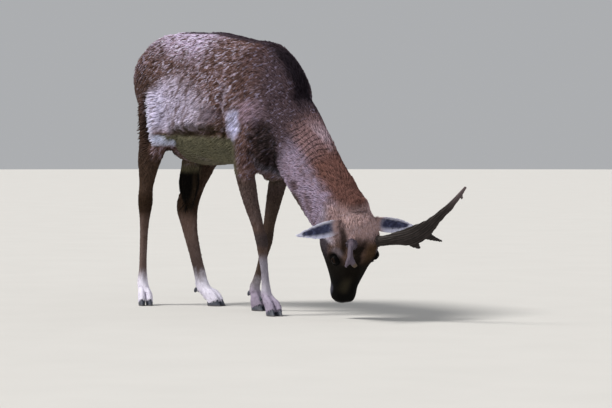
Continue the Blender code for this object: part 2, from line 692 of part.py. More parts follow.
def main():
    clear_scene()
    coat = material("coat", (0.30, 0.21, 0.15), 0.9)
    pale = material("pale_coat", (0.62, 0.56, 0.50), 0.9)
    dark = material("dark_hair", (0.05, 0.035, 0.03), 0.9)
    horn = material("hoof_horn", (0.06, 0.06, 0.075), 0.5)
    bone = material("antler_bone", (0.16, 0.13, 0.11), 0.7)
    eye = material("eye", (0.01, 0.008, 0.008), 0.08)

    flesh = part_body(fused_body())
    pieces = {}

    for name, sign in (("ear_left", 1), ("ear_right", -1)):
        leaf = outward(mesh_of(*close_strip(ear_grid(sign))))
        pieces[name] = (cut(leaf, swollen(flesh["head"], GAP)), coat)
    pieces["tail"] = (cut(shell_mesh(tube(TAIL, (-1, 0, 0.3), 8, 10)),
                          swollen(flesh["hindquarters"], GAP)), dark)
    brush = cut(shell_mesh(tube(BRUSH, (1, 0, 0), 7, 10)), swollen(flesh["hindquarters"], GAP))
    brush = cut(brush, swollen(flesh["trunk"], GAP))
    pieces["prepuce_brush"] = (brush, dark)

    beams = {"antler_left": (ANTLER_LEFT, BLADE_FACES, ANTLER_LEFT_TINES, 15),
             "antler_right": (ANTLER_RIGHT, BLADE_FACES * np.array([1, 1, -1]),
                              ANTLER_RIGHT_TINES, 8)}
    for name, (rows, flat, tines, rings) in beams.items():
        beam = cut(shell_mesh(blade(rows, flat, rings, 8)), swollen(flesh["head"], GAP))
        pieces[f"{name}_beam"] = (beam, bone)
        for tine, tine_rows in tines.items():
            spike = cut(shell_mesh(blade(tine_rows, flat, 5, 6)), swollen(beam, GAP))
            pieces[f"{name}_{tine}_tine"] = (spike, bone)

    for name, sign in (("eye_left", 1), ("eye_right", -1)):
        ball = ellipsoid((0, 0, 0), (EYE_RADIUS,) * 3, 0, 6, 10)
        at = in_head(np.array([EYE_AT[0], EYE_AT[1], sign * EYE_AT[2]]))
        pieces[name] = (shell_mesh(ball + at), eye)
        flesh["head"] = cut(flesh["head"], swollen(pieces[name][0], GAP))

    for foot, (heading, at) in FEET.items():
        for side, sign in (("left", 1), ("right", -1)):
            hoof = cut(claw(heading, at, sign), swollen(flesh[f"{foot}_pastern"], GAP))
            pieces[f"{foot}_hoof_{side}"] = (hoof, horn)
            dew = cut(dewclaw(foot, sign), swollen(flesh[f"{foot}_pastern"], GAP))
            pieces[f"{foot}_dewclaw_{side}"] = (dew, horn)

    for name, mesh in flesh.items():
        pieces[name] = (mesh, pale if "pastern" in name else coat)
    move_to_middle([mesh for mesh, _ in pieces.values()])
    for name, (mesh, mat) in pieces.items():
        add_object(name, mesh, mat)
        mesh.shade_smooth()
    print("triangles", sum(len(mesh.polygons) for mesh, _ in pieces.values()))


main()
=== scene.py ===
# %% [markdown]
# # A fallow deer buck, grazing
#
# This notebook dresses the solid model of a life-size deer. The solids give the size and the
# place of everything. Here they get a skin without seams, a winter coat of hair, dark eyes,
# grooved antlers and horn hooves.
#
# The work goes from the inside out: body form, skin, relief of the head, coat, then the hard
# parts, the finishes and the studio.

# %% Load the solids
import math

import bmesh
import bpy
import numpy as np
from mathutils import Matrix, Vector


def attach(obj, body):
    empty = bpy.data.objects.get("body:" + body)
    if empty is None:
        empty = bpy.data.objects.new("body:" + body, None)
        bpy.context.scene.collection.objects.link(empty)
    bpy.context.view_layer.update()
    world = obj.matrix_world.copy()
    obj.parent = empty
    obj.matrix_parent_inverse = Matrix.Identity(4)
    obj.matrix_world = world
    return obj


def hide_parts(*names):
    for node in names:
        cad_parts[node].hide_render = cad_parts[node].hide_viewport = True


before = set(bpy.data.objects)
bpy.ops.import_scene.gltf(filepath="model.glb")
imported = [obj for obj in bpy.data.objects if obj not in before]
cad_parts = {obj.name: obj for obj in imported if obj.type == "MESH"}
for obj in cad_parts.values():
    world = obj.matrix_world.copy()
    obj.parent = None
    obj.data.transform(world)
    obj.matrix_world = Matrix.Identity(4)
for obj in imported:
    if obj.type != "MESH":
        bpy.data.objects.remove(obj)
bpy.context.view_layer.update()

# %% [markdown]
# ## The form of the body
#
# An animal's body is a set of tubes: trunk, neck, head and four limbs. A drawing of each tube
# is a short list of sections: where its middle is, how wide it is, and how far it reaches to
# the front and to the back. The solids were made from much the same sections, so a skin that
# grows from them fits inside. Copying the solids' triangles would bring their facets along.
#
# Lengths are metres. +X is forward, +Y the deer's left, +Z up. In these lists x = 0 and y = 0
# lie beside the right fore hoof.

# %% Sections of trunk, neck and head
# Trunk: x, z, half width, up, down.
TRUNK = [
    (-0.803, 0.812, 0.044, 0.044, 0.052),
    (-0.786, 0.810, 0.106, 0.100, 0.126),
    (-0.744, 0.805, 0.142, 0.145, 0.170),
    (-0.662, 0.798, 0.149, 0.172, 0.222),
    (-0.560, 0.778, 0.146, 0.195, 0.272),
    (-0.460, 0.750, 0.155, 0.221, 0.260),
    (-0.360, 0.728, 0.163, 0.230, 0.238),
    (-0.270, 0.710, 0.162, 0.233, 0.216),
    (-0.180, 0.692, 0.152, 0.238, 0.209),
    (-0.090, 0.680, 0.128, 0.235, 0.215),
    (-0.020, 0.662, 0.099, 0.205, 0.203),
    (0.040, 0.635, 0.080, 0.152, 0.155),
    (0.078, 0.610, 0.045, 0.078, 0.080),
]
# Neck: x, y, z, half width, to the nape, to the throat.
NECK = [
    (-0.110, 0.000, 0.735, 0.090, 0.124, 0.150),
    (-0.030, 0.000, 0.690, 0.090, 0.123, 0.160),
    (0.050, 0.000, 0.628, 0.086, 0.126, 0.142),
    (0.130, 0.002, 0.532, 0.079, 0.132, 0.130),
    (0.204, 0.012, 0.438, 0.077, 0.127, 0.121),
    (0.280, 0.026, 0.362, 0.080, 0.115, 0.118),
    (0.350, 0.042, 0.312, 0.074, 0.082, 0.108),
]
NAPE_SIDE = (0.69, 0.0, 0.72)
# Head, in its own frame: along the skull (0 at the eyes, + to the poll), out of the face,
# half width, to the face, to the jaw.
HEAD = [
    (0.148, -0.050, 0.044, 0.035, 0.050),
    (0.120, -0.050, 0.071, 0.065, 0.082),
    (0.078, -0.054, 0.088, 0.086, 0.112),
    (0.034, -0.056, 0.095, 0.085, 0.120),
    (-0.010, -0.056, 0.090, 0.076, 0.106),
    (-0.052, -0.056, 0.073, 0.062, 0.078),
    (-0.094, -0.056, 0.056, 0.050, 0.057),
    (-0.132, -0.056, 0.044, 0.041, 0.045),
    (-0.166, -0.056, 0.042, 0.037, 0.040),
    (-0.185, -0.056, 0.033, 0.029, 0.029),
    (-0.194, -0.056, 0.012, 0.012, 0.011),
]
# Foot of the left antler: along, out of the face, to the left, radius.
PEDICLE = [(0.062, -0.020, 0.034, 0.0180), (0.072, 0.020, 0.041, 0.0175),
           (0.079, 0.036, 0.047, 0.0165)]
ORBIT_OUT = 0.0600                   # bony ring of the eye, off the middle of the head
EYE_AT = np.array([-0.003, -0.013, 0.0715])
EYE_RADIUS = 0.0150
HEAD_AT = np.array([0.356, 0.048, 0.204])
HEAD_TURNS = (-6.0, 27.0, 6.0)       # yaw to the left, tuck of the chin, roll, degrees
# Planes across the body, each a point and the way it faces: where the head begins, where the
# neck begins, up from the middle of the neck to the nape, and down along the neck.
HEAD_PLANE = ((0.300, 0.030, 0.360), (0.82, 0.0, -0.57))
NECK_PLANE = ((0.0, 0.0, 0.645), (0.99, 0.0, 0.135))
NAPE_PLANE = ((0.20, 0.0, 0.445), (0.72, 0.0, 0.69))
ALONG_PLANE = ((0.05, 0.0, 0.628), (0.69, 0.0, -0.724))
HEAD_FROM, POLL_FROM = 0.2, 0.1      # x beyond which there is no trunk or limb, for head and poll
TRUNK_HIGH, TRUNK_FALL = 0.662, 0.21  # middle line of the trunk: height at x = 0, fall forward
SKULL_DEEP = 0.056                   # middle line of the skull, behind the plane of the face

# %% Sections of the limbs
# Half width, to the front, to the back; then the points of each limb from the top down.
HIND_SIZES = [
    (0.055, 0.100, 0.080), (0.066, 0.120, 0.092), (0.058, 0.106, 0.082), (0.043, 0.069, 0.058),
    (0.0262, 0.0550, 0.043), (0.0262, 0.0430, 0.056), (0.0180, 0.0325, 0.044),
    (0.0150, 0.022, 0.031), (0.0165, 0.0215, 0.029), (0.0205, 0.0240, 0.030), (0.0215, 0.0210, 0.0240),
    (0.0260, 0.0235, 0.0240)]
FORE_SIZES = [
    (0.045, 0.085, 0.085), (0.045, 0.066, 0.074), (0.037, 0.045, 0.054), (0.028, 0.034, 0.034),
    (0.0205, 0.0235, 0.022), (0.0215, 0.0235, 0.0225), (0.0170, 0.0180, 0.0185),
    (0.0145, 0.0160, 0.0165), (0.0160, 0.0170, 0.0185), (0.0195, 0.0195, 0.0225),
    (0.0210, 0.0195, 0.0205), (0.0255, 0.0235, 0.0240)]
LIMBS = {
    "hind_right": [
        (-0.660, -0.078, 0.830), (-0.655, -0.098, 0.720), (-0.646, -0.114, 0.620),
        (-0.682, -0.118, 0.520), (-0.715, -0.112, 0.425), (-0.728, -0.107, 0.365),
        (-0.738, -0.105, 0.300), (-0.748, -0.104, 0.200), (-0.754, -0.103, 0.115),
        (-0.755, -0.103, 0.080), (-0.742, -0.105, 0.055), (-0.730, -0.109, 0.034)],
    "hind_left": [
        (-0.655, 0.078, 0.830), (-0.640, 0.096, 0.720), (-0.620, 0.104, 0.620),
        (-0.672, 0.098, 0.520), (-0.722, 0.082, 0.415), (-0.733, 0.076, 0.350),
        (-0.720, 0.074, 0.290), (-0.680, 0.072, 0.190), (-0.639, 0.071, 0.100),
        (-0.627, 0.071, 0.068), (-0.598, 0.072, 0.046), (-0.580, 0.075, 0.032)],
    "fore_right": [
        (-0.080, -0.080, 0.680), (-0.085, -0.090, 0.590), (-0.095, -0.092, 0.505),
        (-0.080, -0.085, 0.400), (-0.052, -0.068, 0.290), (-0.042, -0.061, 0.245),
        (-0.042, -0.057, 0.200), (-0.040, -0.051, 0.140), (-0.038, -0.047, 0.095),
        (-0.037, -0.046, 0.070), (-0.022, -0.045, 0.048), (-0.010, -0.045, 0.033)],
    "fore_left": [
        (-0.090, 0.078, 0.680), (-0.105, 0.080, 0.590), (-0.125, 0.076, 0.505),
        (-0.155, 0.066, 0.400), (-0.187, 0.061, 0.290), (-0.198, 0.060, 0.245),
        (-0.216, 0.061, 0.200), (-0.245, 0.063, 0.140), (-0.268, 0.064, 0.098),
        (-0.280, 0.065, 0.073), (-0.272, 0.066, 0.050), (-0.264, 0.067, 0.034)],
}
# Toe heading in degrees, + to the left, and the middle of the hoof pair on the ground.
FEET = {
    "fore_right": (-8.0, (0.010, -0.045)),
    "fore_left": (8.0, (-0.248, 0.067)),
    "hind_right": (-25.0, (-0.714, -0.115)),
    "hind_left": (20.0, (-0.556, 0.082)),
}
# Heading of a pastern as a share of its toes' heading: a limb twists on its way down.
LIMB_TWIST = {"hind": 1.25, "fore": 0.8}
# Muscles and bones that stand out: middle, half axes, tilt in the side view in degrees.
MASSES = [
    ((-0.095, 0.090, 0.660), (0.085, 0.041, 0.140), -18),   # shoulder blade
    ((-0.030, 0.060, 0.560), (0.075, 0.050, 0.085), 0),     # point of the shoulder
    ((-0.040, 0.000, 0.500), (0.080, 0.055, 0.050), -20),   # brisket
    ((-0.680, 0.086, 0.785), (0.105, 0.060, 0.140), 8),     # haunch
    ((-0.560, 0.130, 0.620), (0.050, 0.020, 0.062), 35),    # fold of the flank
]
print("limbs", list(LIMBS), "with", len(HIND_SIZES), "sections each")

# %% [markdown]
# ## Turning sections into surfaces
#
# `through` draws a smooth line through the rows of a list, and `tube` carries an oval along
# it. Both work on whole arrays: one row for each ring, one column for each step around it.


# %% Curves and tubes
def rise(value, low, high):
    """0 below low, 1 above high, and 3t^2 - 2t^3 between them."""
    t = np.clip((value - low) / (high - low), 0, 1)
    return t * t * (3 - 2 * t)


def unit(vectors):
    """Each vector over its length."""
    vectors = np.asarray(vectors, float)
    return vectors / np.maximum(np.linalg.norm(vectors, axis=-1, keepdims=True), 1e-12)


def turned(x, y, degrees):
    """Points of a plane, turned from its first axis towards its second."""
    c, s = math.cos(math.radians(degrees)), math.sin(math.radians(degrees))
    return x * c - y * s, x * s + y * c


def through(rows, count):
    """A cubic through the rows; each slope is that of the parabola through a row and its two
    neighbours, and all columns run along the same arc length."""
    rows = np.asarray(rows, float)
    chord = np.linalg.norm(np.diff(rows[:, :3], axis=0), axis=1)
    knot = np.concatenate([[0.0], np.cumsum(chord)])
    steep = np.diff(rows, axis=0) / chord[:, None]
    slope = np.empty_like(rows)
    slope[0], slope[-1] = steep[0], steep[-1]
    slope[1:-1] = steep[:-1] * chord[1:, None] + steep[1:] * chord[:-1, None]
    slope[1:-1] /= (chord[:-1] + chord[1:])[:, None]
    at = np.linspace(0.0, knot[-1], count)
    piece = np.clip(np.searchsorted(knot, at, side="right") - 1, 0, len(chord) - 1)
    long = chord[piece][:, None]
    t = ((at - knot[piece]) / chord[piece])[:, None]
    return ((2 * t**3 - 3 * t**2 + 1) * rows[piece] + (t**3 - 2 * t**2 + t) * long * slope[piece]
            + (3 * t**2 - 2 * t**3) * rows[piece + 1] + (t**3 - t**2) * long * slope[piece + 1])


def tube(stations, front, rings, around, square=2.0):
    """Sections (front*cos a, side*sin a), cosine and sine to the power 2/square, carried
    along the path; a station is x, y, z, half width, to the front, to the back. The sections
    face one front, or each ring its own."""
    rows = through(stations, rings)
    way = unit(np.gradient(rows[:, :3], axis=0))
    front = np.asarray(front, float) + 0 * way
    facing = unit(front - (front * way).sum(1)[:, None] * way)
    side = np.cross(facing, way)
    angle = np.arange(around) * 2 * np.pi / around
    c = np.sign(np.cos(angle)) * np.abs(np.cos(angle)) ** (2 / square)
    s = np.sign(np.sin(angle)) * np.abs(np.sin(angle)) ** (2 / square)
    reach = np.where(c > 0, rows[:, 4:5], rows[:, 5:6]) * c
    return (rows[:, None, :3] + reach[..., None] * facing[:, None]
            + (rows[:, 3:4] * s)[..., None] * side[:, None])


def close(grid):
    """Points and triangles of a tube, with a fan over each end, all facing out."""
    rings, around, _ = grid.shape
    points = np.vstack([grid.reshape(-1, 3), grid[0].mean(0), grid[-1].mean(0)])
    ring, step = (v.ravel() for v in np.meshgrid(np.arange(rings - 1), np.arange(around),
                                                 indexing="ij"))
    a, b = ring * around + step, ring * around + (step + 1) % around
    j = np.arange(around)
    k = (j + 1) % around
    first, last, top = rings * around, rings * around + 1, (rings - 1) * around
    faces = np.vstack([np.stack([a, b, b + around], 1), np.stack([a, b + around, a + around], 1),
                       np.stack([np.full(around, first), k, j], 1),
                       np.stack([np.full(around, last), top + j, top + k], 1)])
    one, two, three = points[faces].transpose(1, 0, 2)
    inside_out = np.einsum("ij,ij", one, np.cross(two, three)) < 0
    return points, faces[:, ::-1] if inside_out else faces


def ellipsoid(middle, half, tilt, rings, around):
    """A ball stretched to three half axes and turned in the side view."""
    lat = np.linspace(0, np.pi, rings + 2)[1:-1, None]
    lon = np.arange(around)[None] * 2 * np.pi / around
    ball = np.stack([np.sin(lat) * np.cos(lon), np.sin(lat) * np.sin(lon),
                     np.cos(lat) * np.ones_like(lon)], -1) * np.asarray(half)
    x, z = turned(ball[..., 0], ball[..., 2], -tilt)
    return np.stack([x, ball[..., 1], z], -1) + np.asarray(middle)


print("a tube has the shape", tube([(*p, *s) for p, s in zip(LIMBS["fore_left"], FORE_SIZES)],
                                   (1, 0, 0), 36, 28).shape)

# %% [markdown]
# ## The head's own frame
#
# The head hangs, is tucked towards the chest and rolled a little. Its features are easier to
# place in a frame that is carried by the skull: along it, out of the face and to the left.
#
# The solids were moved after they were modelled, so that their box stands in the middle. The
# move is found again here: the middle of an eyeball is known in both places.


# %% Head frame and the move to the middle
def head_axes():
    """Columns: along the skull to the poll, out of the face, to the deer's left."""
    yaw, tuck, roll = (math.radians(v) for v in HEAD_TURNS)
    along = Vector((math.sin(tuck), 0, math.cos(tuck)))
    face = Vector((math.cos(tuck), 0, -math.sin(tuck)))
    about_face = Matrix.Rotation(roll, 3, face)
    about_up = Matrix.Rotation(yaw, 3, "Z")
    return np.array([about_up @ (about_face @ v) for v in (along, face, Vector((0, 1, 0)))]).T


HEAD_AXES = head_axes()


def in_head(points):
    """From the head's frame to the list frame."""
    return np.asarray(points, float) @ HEAD_AXES.T + HEAD_AT


def from_head(points):
    """From the list frame to the head's frame."""
    return (np.asarray(points, float) - HEAD_AT) @ HEAD_AXES


def read(items, key, width, kind=np.float32):
    """One property of all vertices, edges or triangles, a row for each."""
    flat = np.empty(len(items) * width, kind)
    items.foreach_get(key, flat)
    return flat.reshape(-1, width)


def points_of(mesh):
    return read(mesh.vertices, "co", 3).astype(float)


def eyeball_middle(side):
    """Mean of the different corners of a solid eyeball."""
    corners = points_of(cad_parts[f"eye_{side}"].data)
    return np.unique(corners.round(6), axis=0).mean(0)


MOVE = eyeball_middle("right") - in_head(EYE_AT * [1, 1, -1])
check = eyeball_middle("left") - in_head(EYE_AT)
print("the solids were moved by", MOVE.round(4), "and by the other eye", check.round(4))

# %% [markdown]
# ## One skin
#
# Under the coat a deer has one skin, with no edges between neck and trunk. All tubes and
# muscles are fused by a voxel remesh, which keeps only the outer surface, and then smoothed.
# Smoothing in pairs, a step in and a slightly longer step out, rounds the creases and keeps
# the volume.
#
# The skin is finest where the eye looks first. Its faces are halved once on the head and
# limbs, again round the eyes and the muzzle, and a third time along the lids and nostrils.


# %% Meshes from arrays
def new_mesh(name, points, faces):
    """A mesh from an array of points and an array of triangles or quads."""
    mesh = bpy.data.meshes.new(name)
    faces = np.asarray(faces, np.int32)
    count, corners = faces.shape
    mesh.vertices.add(len(points))
    mesh.vertices.foreach_set("co", np.asarray(points, np.float32).ravel())
    mesh.loops.add(count * corners)
    mesh.loops.foreach_set("vertex_index", faces.ravel())
    mesh.polygons.add(count)
    mesh.polygons.foreach_set("loop_start", np.arange(count, dtype=np.int32) * corners)
    mesh.update(calc_edges=True)
    return mesh


def joined(parts):
    """Points and faces of several closed shells as one pair of arrays."""
    points, faces, start = [], [], 0
    for more_points, more_faces in parts:
        points.append(more_points)
        faces.append(np.asarray(more_faces) + start)
        start += len(more_points)
    return np.vstack(points), np.vstack(faces)


def add_object(name, data):
    thing = bpy.data.objects.new(name, data)
    bpy.context.scene.collection.objects.link(thing)
    return thing


def hand_over(thing, slot, *solids):
    """A piece rides on the deer's body and stands for solids, which are hidden; the slot is not used."""
    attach(thing, "root")
    if solids:
        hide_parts(*solids)
    return thing


def welded(mesh):
    """The mesh with the points that meet made one."""
    bm = bmesh.new()
    bm.from_mesh(mesh)
    bmesh.ops.remove_doubles(bm, verts=bm.verts, dist=1e-6)
    bm.to_mesh(mesh)
    bm.free()
    return mesh


def modified(mesh, kind, **settings):
    """The mesh as one modifier leaves it."""
    thing = add_object("work", mesh)
    step = thing.modifiers.new("step", kind)
    for key, value in settings.items():
        setattr(step, key, value)
    bpy.context.view_layer.update()
    seen = thing.evaluated_get(bpy.context.evaluated_depsgraph_get())
    result = bpy.data.meshes.new_from_object(seen)
    bpy.data.objects.remove(thing)
    return result


def put(mesh, points):
    mesh.vertices.foreach_set("co", np.asarray(points, np.float32).ravel())
    mesh.update()


def edges_of(mesh):
    return read(mesh.edges, "vertices", 2, np.int32)


def normals_of(mesh):
    return read(mesh.vertex_normals, "vector", 3).astype(float)


def triangles_of(mesh):
    mesh.calc_loop_triangles()
    return read(mesh.loop_triangles, "vertices", 3, np.int32)


def give(mesh, name, values, kind="FLOAT"):
    """A named number, or with FLOAT_VECTOR a vector, for each point of the mesh."""
    data = mesh.attributes.new(name, kind, "POINT").data
    data.foreach_set("value" if kind == "FLOAT" else "vector", values.astype(np.float32).ravel())


PULLS = (0.5, -0.53)       # towards the mean of the neighbours, then away from it


def relaxed(points, edges, weight, rounds):
    """Each point moves by the first pull of the way to the mean of its neighbours, and then by
    the second, a little further back."""
    degree = np.maximum(np.bincount(edges.ravel(), minlength=len(points)), 1)[:, None]
    for _ in range(rounds):
        for pull in PULLS:
            total = np.stack([np.bincount(edges[:, 0], points[edges[:, 1], axis], len(points))
                              + np.bincount(edges[:, 1], points[edges[:, 0], axis], len(points))
                              for axis in range(3)], 1)
            points = points + pull * weight[:, None] * (total / degree - points)
    return points


# %% Fuse the tubes
SKIN_GRAIN = 0.0082
SKIN_ROUNDS = 16
LIMB_RINGS = 150


def head_tube(rows, **form):
    rows = np.array(rows, float)
    rows[:, :3] = in_head(rows[:, :3])
    return tube(rows, HEAD_AXES[:, 1], **form)


def limb_rows(limb):
    sizes = HIND_SIZES if "hind" in limb else FORE_SIZES
    return [p + s for p, s in zip(LIMBS[limb], sizes)]


def body_shells():
    """Every closed shell of the body, with no ears."""
    shells = [tube([(x, 0, z, w, up, down) for x, z, w, up, down in TRUNK], (0, 0, 1), 120, 96),
              tube(NECK, NAPE_SIDE, 90, 80),
              head_tube([(a, f, 0, w, d, v) for a, f, w, d, v in HEAD], rings=110, around=80,
                        square=2.25)]
    for sign in (1, -1):
        orbit = ellipsoid((0.0, -0.020, sign * ORBIT_OUT), (0.032, 0.028, 0.026), 0, 30, 40)
        shells.append(in_head(orbit))
        stump = [(a, f, sign * left, r, r, r) for a, f, left, r in PEDICLE]
        shells.append(head_tube(stump, rings=16, around=30))
    for limb in LIMBS:
        turn = np.radians(FEET[limb][0]) * np.linspace(0.2, LIMB_TWIST[limb[:4]], LIMB_RINGS)
        fronts = np.stack([np.cos(turn), np.sin(turn), np.full(LIMB_RINGS, 0.15)], 1)
        shells.append(tube(limb_rows(limb), fronts, LIMB_RINGS, 48))
    for (x, y, z), half, tilt in MASSES:
        for sign in ((1, -1) if y else (1,)):
            shells.append(ellipsoid((x, sign * y, z), half, tilt, 40, 60))
    return shells


skin = welded(new_mesh("skin", *joined([close(grid) for grid in body_shells()])))
skin = modified(skin, "REMESH", mode="VOXEL", voxel_size=SKIN_GRAIN)
place, links = points_of(skin), edges_of(skin)
place = relaxed(place, links, np.ones(len(place)), SKIN_ROUNDS)
on_trunk = rise(place[:, 2], 0.42, 0.56) * rise(-place[:, 0], -0.30, -0.05)
up_head = from_head(place)[:, 0]
on_poll = rise(up_head, 0.085, 0.105) * rise(up_head, 0.175, 0.150) * (place[:, 0] > POLL_FROM)
put(skin, relaxed(place, links, np.maximum(on_trunk, on_poll), 3 * SKIN_ROUNDS))
print("fused skin", len(skin.vertices), "points")


# %% Finer faces where they count
def refined(mesh, wanted, rounds):
    """Edges whose two ends are wanted are halved, and the new points are smoothed."""
    chosen = np.flatnonzero(wanted(points_of(mesh))[edges_of(mesh)].all(1))
    bm = bmesh.new()
    bm.from_mesh(mesh)
    bm.edges.ensure_lookup_table()
    bmesh.ops.subdivide_edges(bm, edges=[bm.edges[i] for i in chosen], cuts=1, use_grid_fill=True)
    bmesh.ops.triangulate(bm, faces=[face for face in bm.faces if len(face.verts) > 4])
    bm.to_mesh(mesh)
    bm.free()
    points = points_of(mesh)
    put(mesh, relaxed(points, edges_of(mesh), wanted(points).astype(float), rounds))


def on_head_or_limb(points):
    along = from_head(points)[:, 0]
    head = (along < 0.125) & (points[:, 0] > HEAD_FROM)
    return head | ((points[:, 2] < 0.44) & (points[:, 0] < 0.10))


def eye_gap(q):
    """Distance of points in the head's frame from the middle of the nearer eyeball."""
    return np.linalg.norm(np.abs(q) * [0, 0, 1] + q * [1, 1, 0] - EYE_AT, axis=1)


def near_eye_or_nose(eye_reach, nose_end):
    """A function of points: within reach of an eye, or further down the nose than its end."""
    def chosen(points):
        q = from_head(points)
        return (points[:, 0] > HEAD_FROM) & ((eye_gap(q) < eye_reach) | (q[:, 0] < nose_end))
    return chosen


for where, rounds in ((on_head_or_limb, 6), (near_eye_or_nose(0.040, -0.125), 4),
                      (near_eye_or_nose(0.024, -0.168), 3)):
    refined(skin, where, rounds)
    print("refined to", len(skin.vertices), "points")

# %% [markdown]
# ## Where each part of the body begins
#
# Colour, length of hair and depth of the coat all change from one part of the body to the
# next. These functions give each point a share from 0 to 1 in head, neck and limb, with soft
# borders, so that everything that reads them changes softly too.


# %% Shares of the body
def beyond(points, middle, way):
    """Distance past a plane, in the direction it faces."""
    return (points - np.asarray(middle)) @ unit(way)


def at_height(limb, z, *columns, rows=80):
    """Columns of a limb's sections where the limb passes the heights z."""
    line = through(limb_rows(limb), rows)[::-1]
    return [np.interp(z, line[:, 2], line[:, i]) for i in columns]


def limb_share(points):
    """1 close to the line of a limb, 0 away from it: at each height the distance from the
    line is measured in half widths of the limb."""
    share = np.zeros(len(points))
    for limb in LIMBS:
        z = points[:, 2]
        x, y, wide, fore, aft = at_height(limb, z, 0, 1, 3, 4, 5)
        reach = np.hypot((points[:, 0] - x) / np.maximum(fore, aft), (points[:, 1] - y) / wide)
        share = np.maximum(share, (1 - rise(reach, 1.3, 2.0)) * (1 - rise(z, 0.44, 0.60)))
    return share


def shares(points):
    limb = limb_share(points)
    head = rise(beyond(points, *HEAD_PLANE), -0.020, 0.035)
    neck = rise(beyond(points, *NECK_PLANE), -0.07, 0.05)
    return head, neck * (1 - head) * (1 - limb), limb * (1 - head)


def by_part(points, on_trunk, on_neck, on_limb, on_head):
    """A value, or an array of them, for each part of the body, blended by the shares."""
    head, neck, limb = shares(points)
    value = on_trunk * (1 - neck) + on_neck * neck
    value = value * (1 - limb) + on_limb * limb
    return value * (1 - head) + on_head * head


def coat_depth(points):
    """How far the tips of the hair stand above the skin."""
    along = from_head(points)[:, 0]
    on_head = 0.0006 + 0.0030 * rise(along, -0.15, 0.03) + 0.002 * rise(along, 0.05, 0.12)
    return by_part(points, 0.0085, 0.0075, 0.0018 + 0.0045 * rise(points[:, 2], 0.30, 0.52), on_head)


place = points_of(skin)
put(skin, place - normals_of(skin) * coat_depth(place)[:, None])
print("coat depth from", coat_depth(place).min().round(4), "to", coat_depth(place).max().round(4))

# %% [markdown]
# ## Relief of the head
#
# The eye sits in a bony ring under two lids. The lids are made by moving the skin along the
# eye's own axis: inside an almond it drops behind the ball, at the almond's edge it stands
# just clear of the ball as a rim, and further out it runs back into the face, with a fold
# above. Nostrils, the line of the mouth and the scent slit before the eye are grooves.


# %% Eyes, nostrils and mouth
LID_LONG, LID_HIGH = 0.0140, 0.0098      # half the opening of the lids
LID_THICK = 0.0017
# Grooves of the left side: start, end, width, depth.
SLITS = [
    ((-0.027, -0.024, 0.064), (-0.052, -0.032, 0.052), 0.0032, 0.0045),       # scent slit
    ((-0.179, -0.036, 0.0215), (-0.190, -0.047, 0.0125), 0.0036, 0.0085),     # nostril
    ((-0.192, -0.0705, 0.000), (-0.178, -0.0735, 0.026), 0.0017, 0.0036),     # front of the mouth
    ((-0.178, -0.0735, 0.026), (-0.128, -0.0750, 0.038), 0.0020, 0.0036),     # side of the mouth
]


def eye_frame(sign):
    """Rows: along the lids to the outer corner, up to the brow, out of the head."""
    out = unit([-0.12, 0.40, sign * 0.91])
    long = np.array([0.96, -0.26, 0.0])
    long = unit(long - (long @ out) * out)
    high = np.cross(out, long)
    high *= np.sign(high[1])
    return np.array([long, high, out])


def bell(distance, width):
    """1 at the middle and falling as exp(-(d/w)^2)."""
    return np.exp(-(distance / width) ** 2)


def lids(q, normal, sign):
    """The skin round one eye, moved along the eye's axis."""
    axes = eye_frame(sign)
    middle = EYE_AT * [1, 1, sign]
    x, y, h = ((q - middle) @ axes.T).T
    almond = np.hypot(x / LID_LONG, y / (LID_HIGH * (1 - 0.16 * x / LID_LONG)))
    from_middle = np.hypot(x, y)
    ball = np.sqrt(np.maximum(EYE_RADIUS**2 - from_middle**2, 0.0))
    over = np.sqrt(np.maximum((EYE_RADIUS + LID_THICK)**2 - from_middle**2, 0.0002**2))
    pocket = ball - 0.0065
    rim = over + 0.0008 * bell(almond - 1.22, 0.16)
    lid = pocket + (rim - pocket) * rise(almond, 0.90, 1.10)
    lid = lid + (h - lid) * rise(almond, 1.35, 2.55)
    lid = lid - 0.0012 * bell(almond - 1.75, 0.14) * rise(y, 0.0, 0.006)
    facing = rise(normal @ axes[2], 0.0, 0.35) * (h > -0.004) * (from_middle < 0.045)
    return q + (facing * (lid - h))[:, None] * axes[2]


def slit(q, start, end, width, depth, normal):
    """A groove along a straight line, as deep as depth and falling off as a bell."""
    start, end = np.asarray(start), np.asarray(end)
    way = end - start
    t = np.clip(((q - start) @ way) / (way @ way), 0, 1)
    away = np.linalg.norm(q - start - t[:, None] * way, axis=1)
    taper = 0.35 + 0.65 * np.sin(np.pi * np.clip(0.15 + 0.75 * t, 0, 1))
    return q - normal * (depth * taper * bell(away, width))[:, None]


def face_relief(q, n):
    """Bones and hollows of the face, as sums of soft bumps along the normal."""
    a, f, left = q.T
    side = np.abs(left)
    lift = 0.0030 * bell(a - 0.016, 0.020) * bell(f - 0.008, 0.010) * bell(side - 0.060, 0.016)
    lift -= 0.0035 * bell(a + 0.040, 0.026) * bell(f + 0.030, 0.018) * rise(side, 0.030, 0.045)
    lift += 0.0035 * bell(a - 0.028, 0.030) * bell(f + 0.085, 0.028) * rise(side, 0.045, 0.065)
    lift -= 0.0022 * bell(a - 0.020, 0.028) * bell(left, 0.018) * rise(f, 0.0, 0.02)
    lift += 0.0018 * bell(side - 0.016, 0.008) * rise(-a, 0.03, 0.07) * rise(-a, 0.02, 0.06) \
        * rise(f, -0.04, -0.02) * (1 - rise(-a, 0.13, 0.16))
    lift += 0.0022 * bell(a + 0.176, 0.012) * bell(side - 0.020, 0.012) * rise(f, -0.06, -0.04)
    lift -= 0.0032 * rise(-a, 0.165, 0.185) * rise(-f, 0.070, 0.080)
    return q + n * lift[:, None]


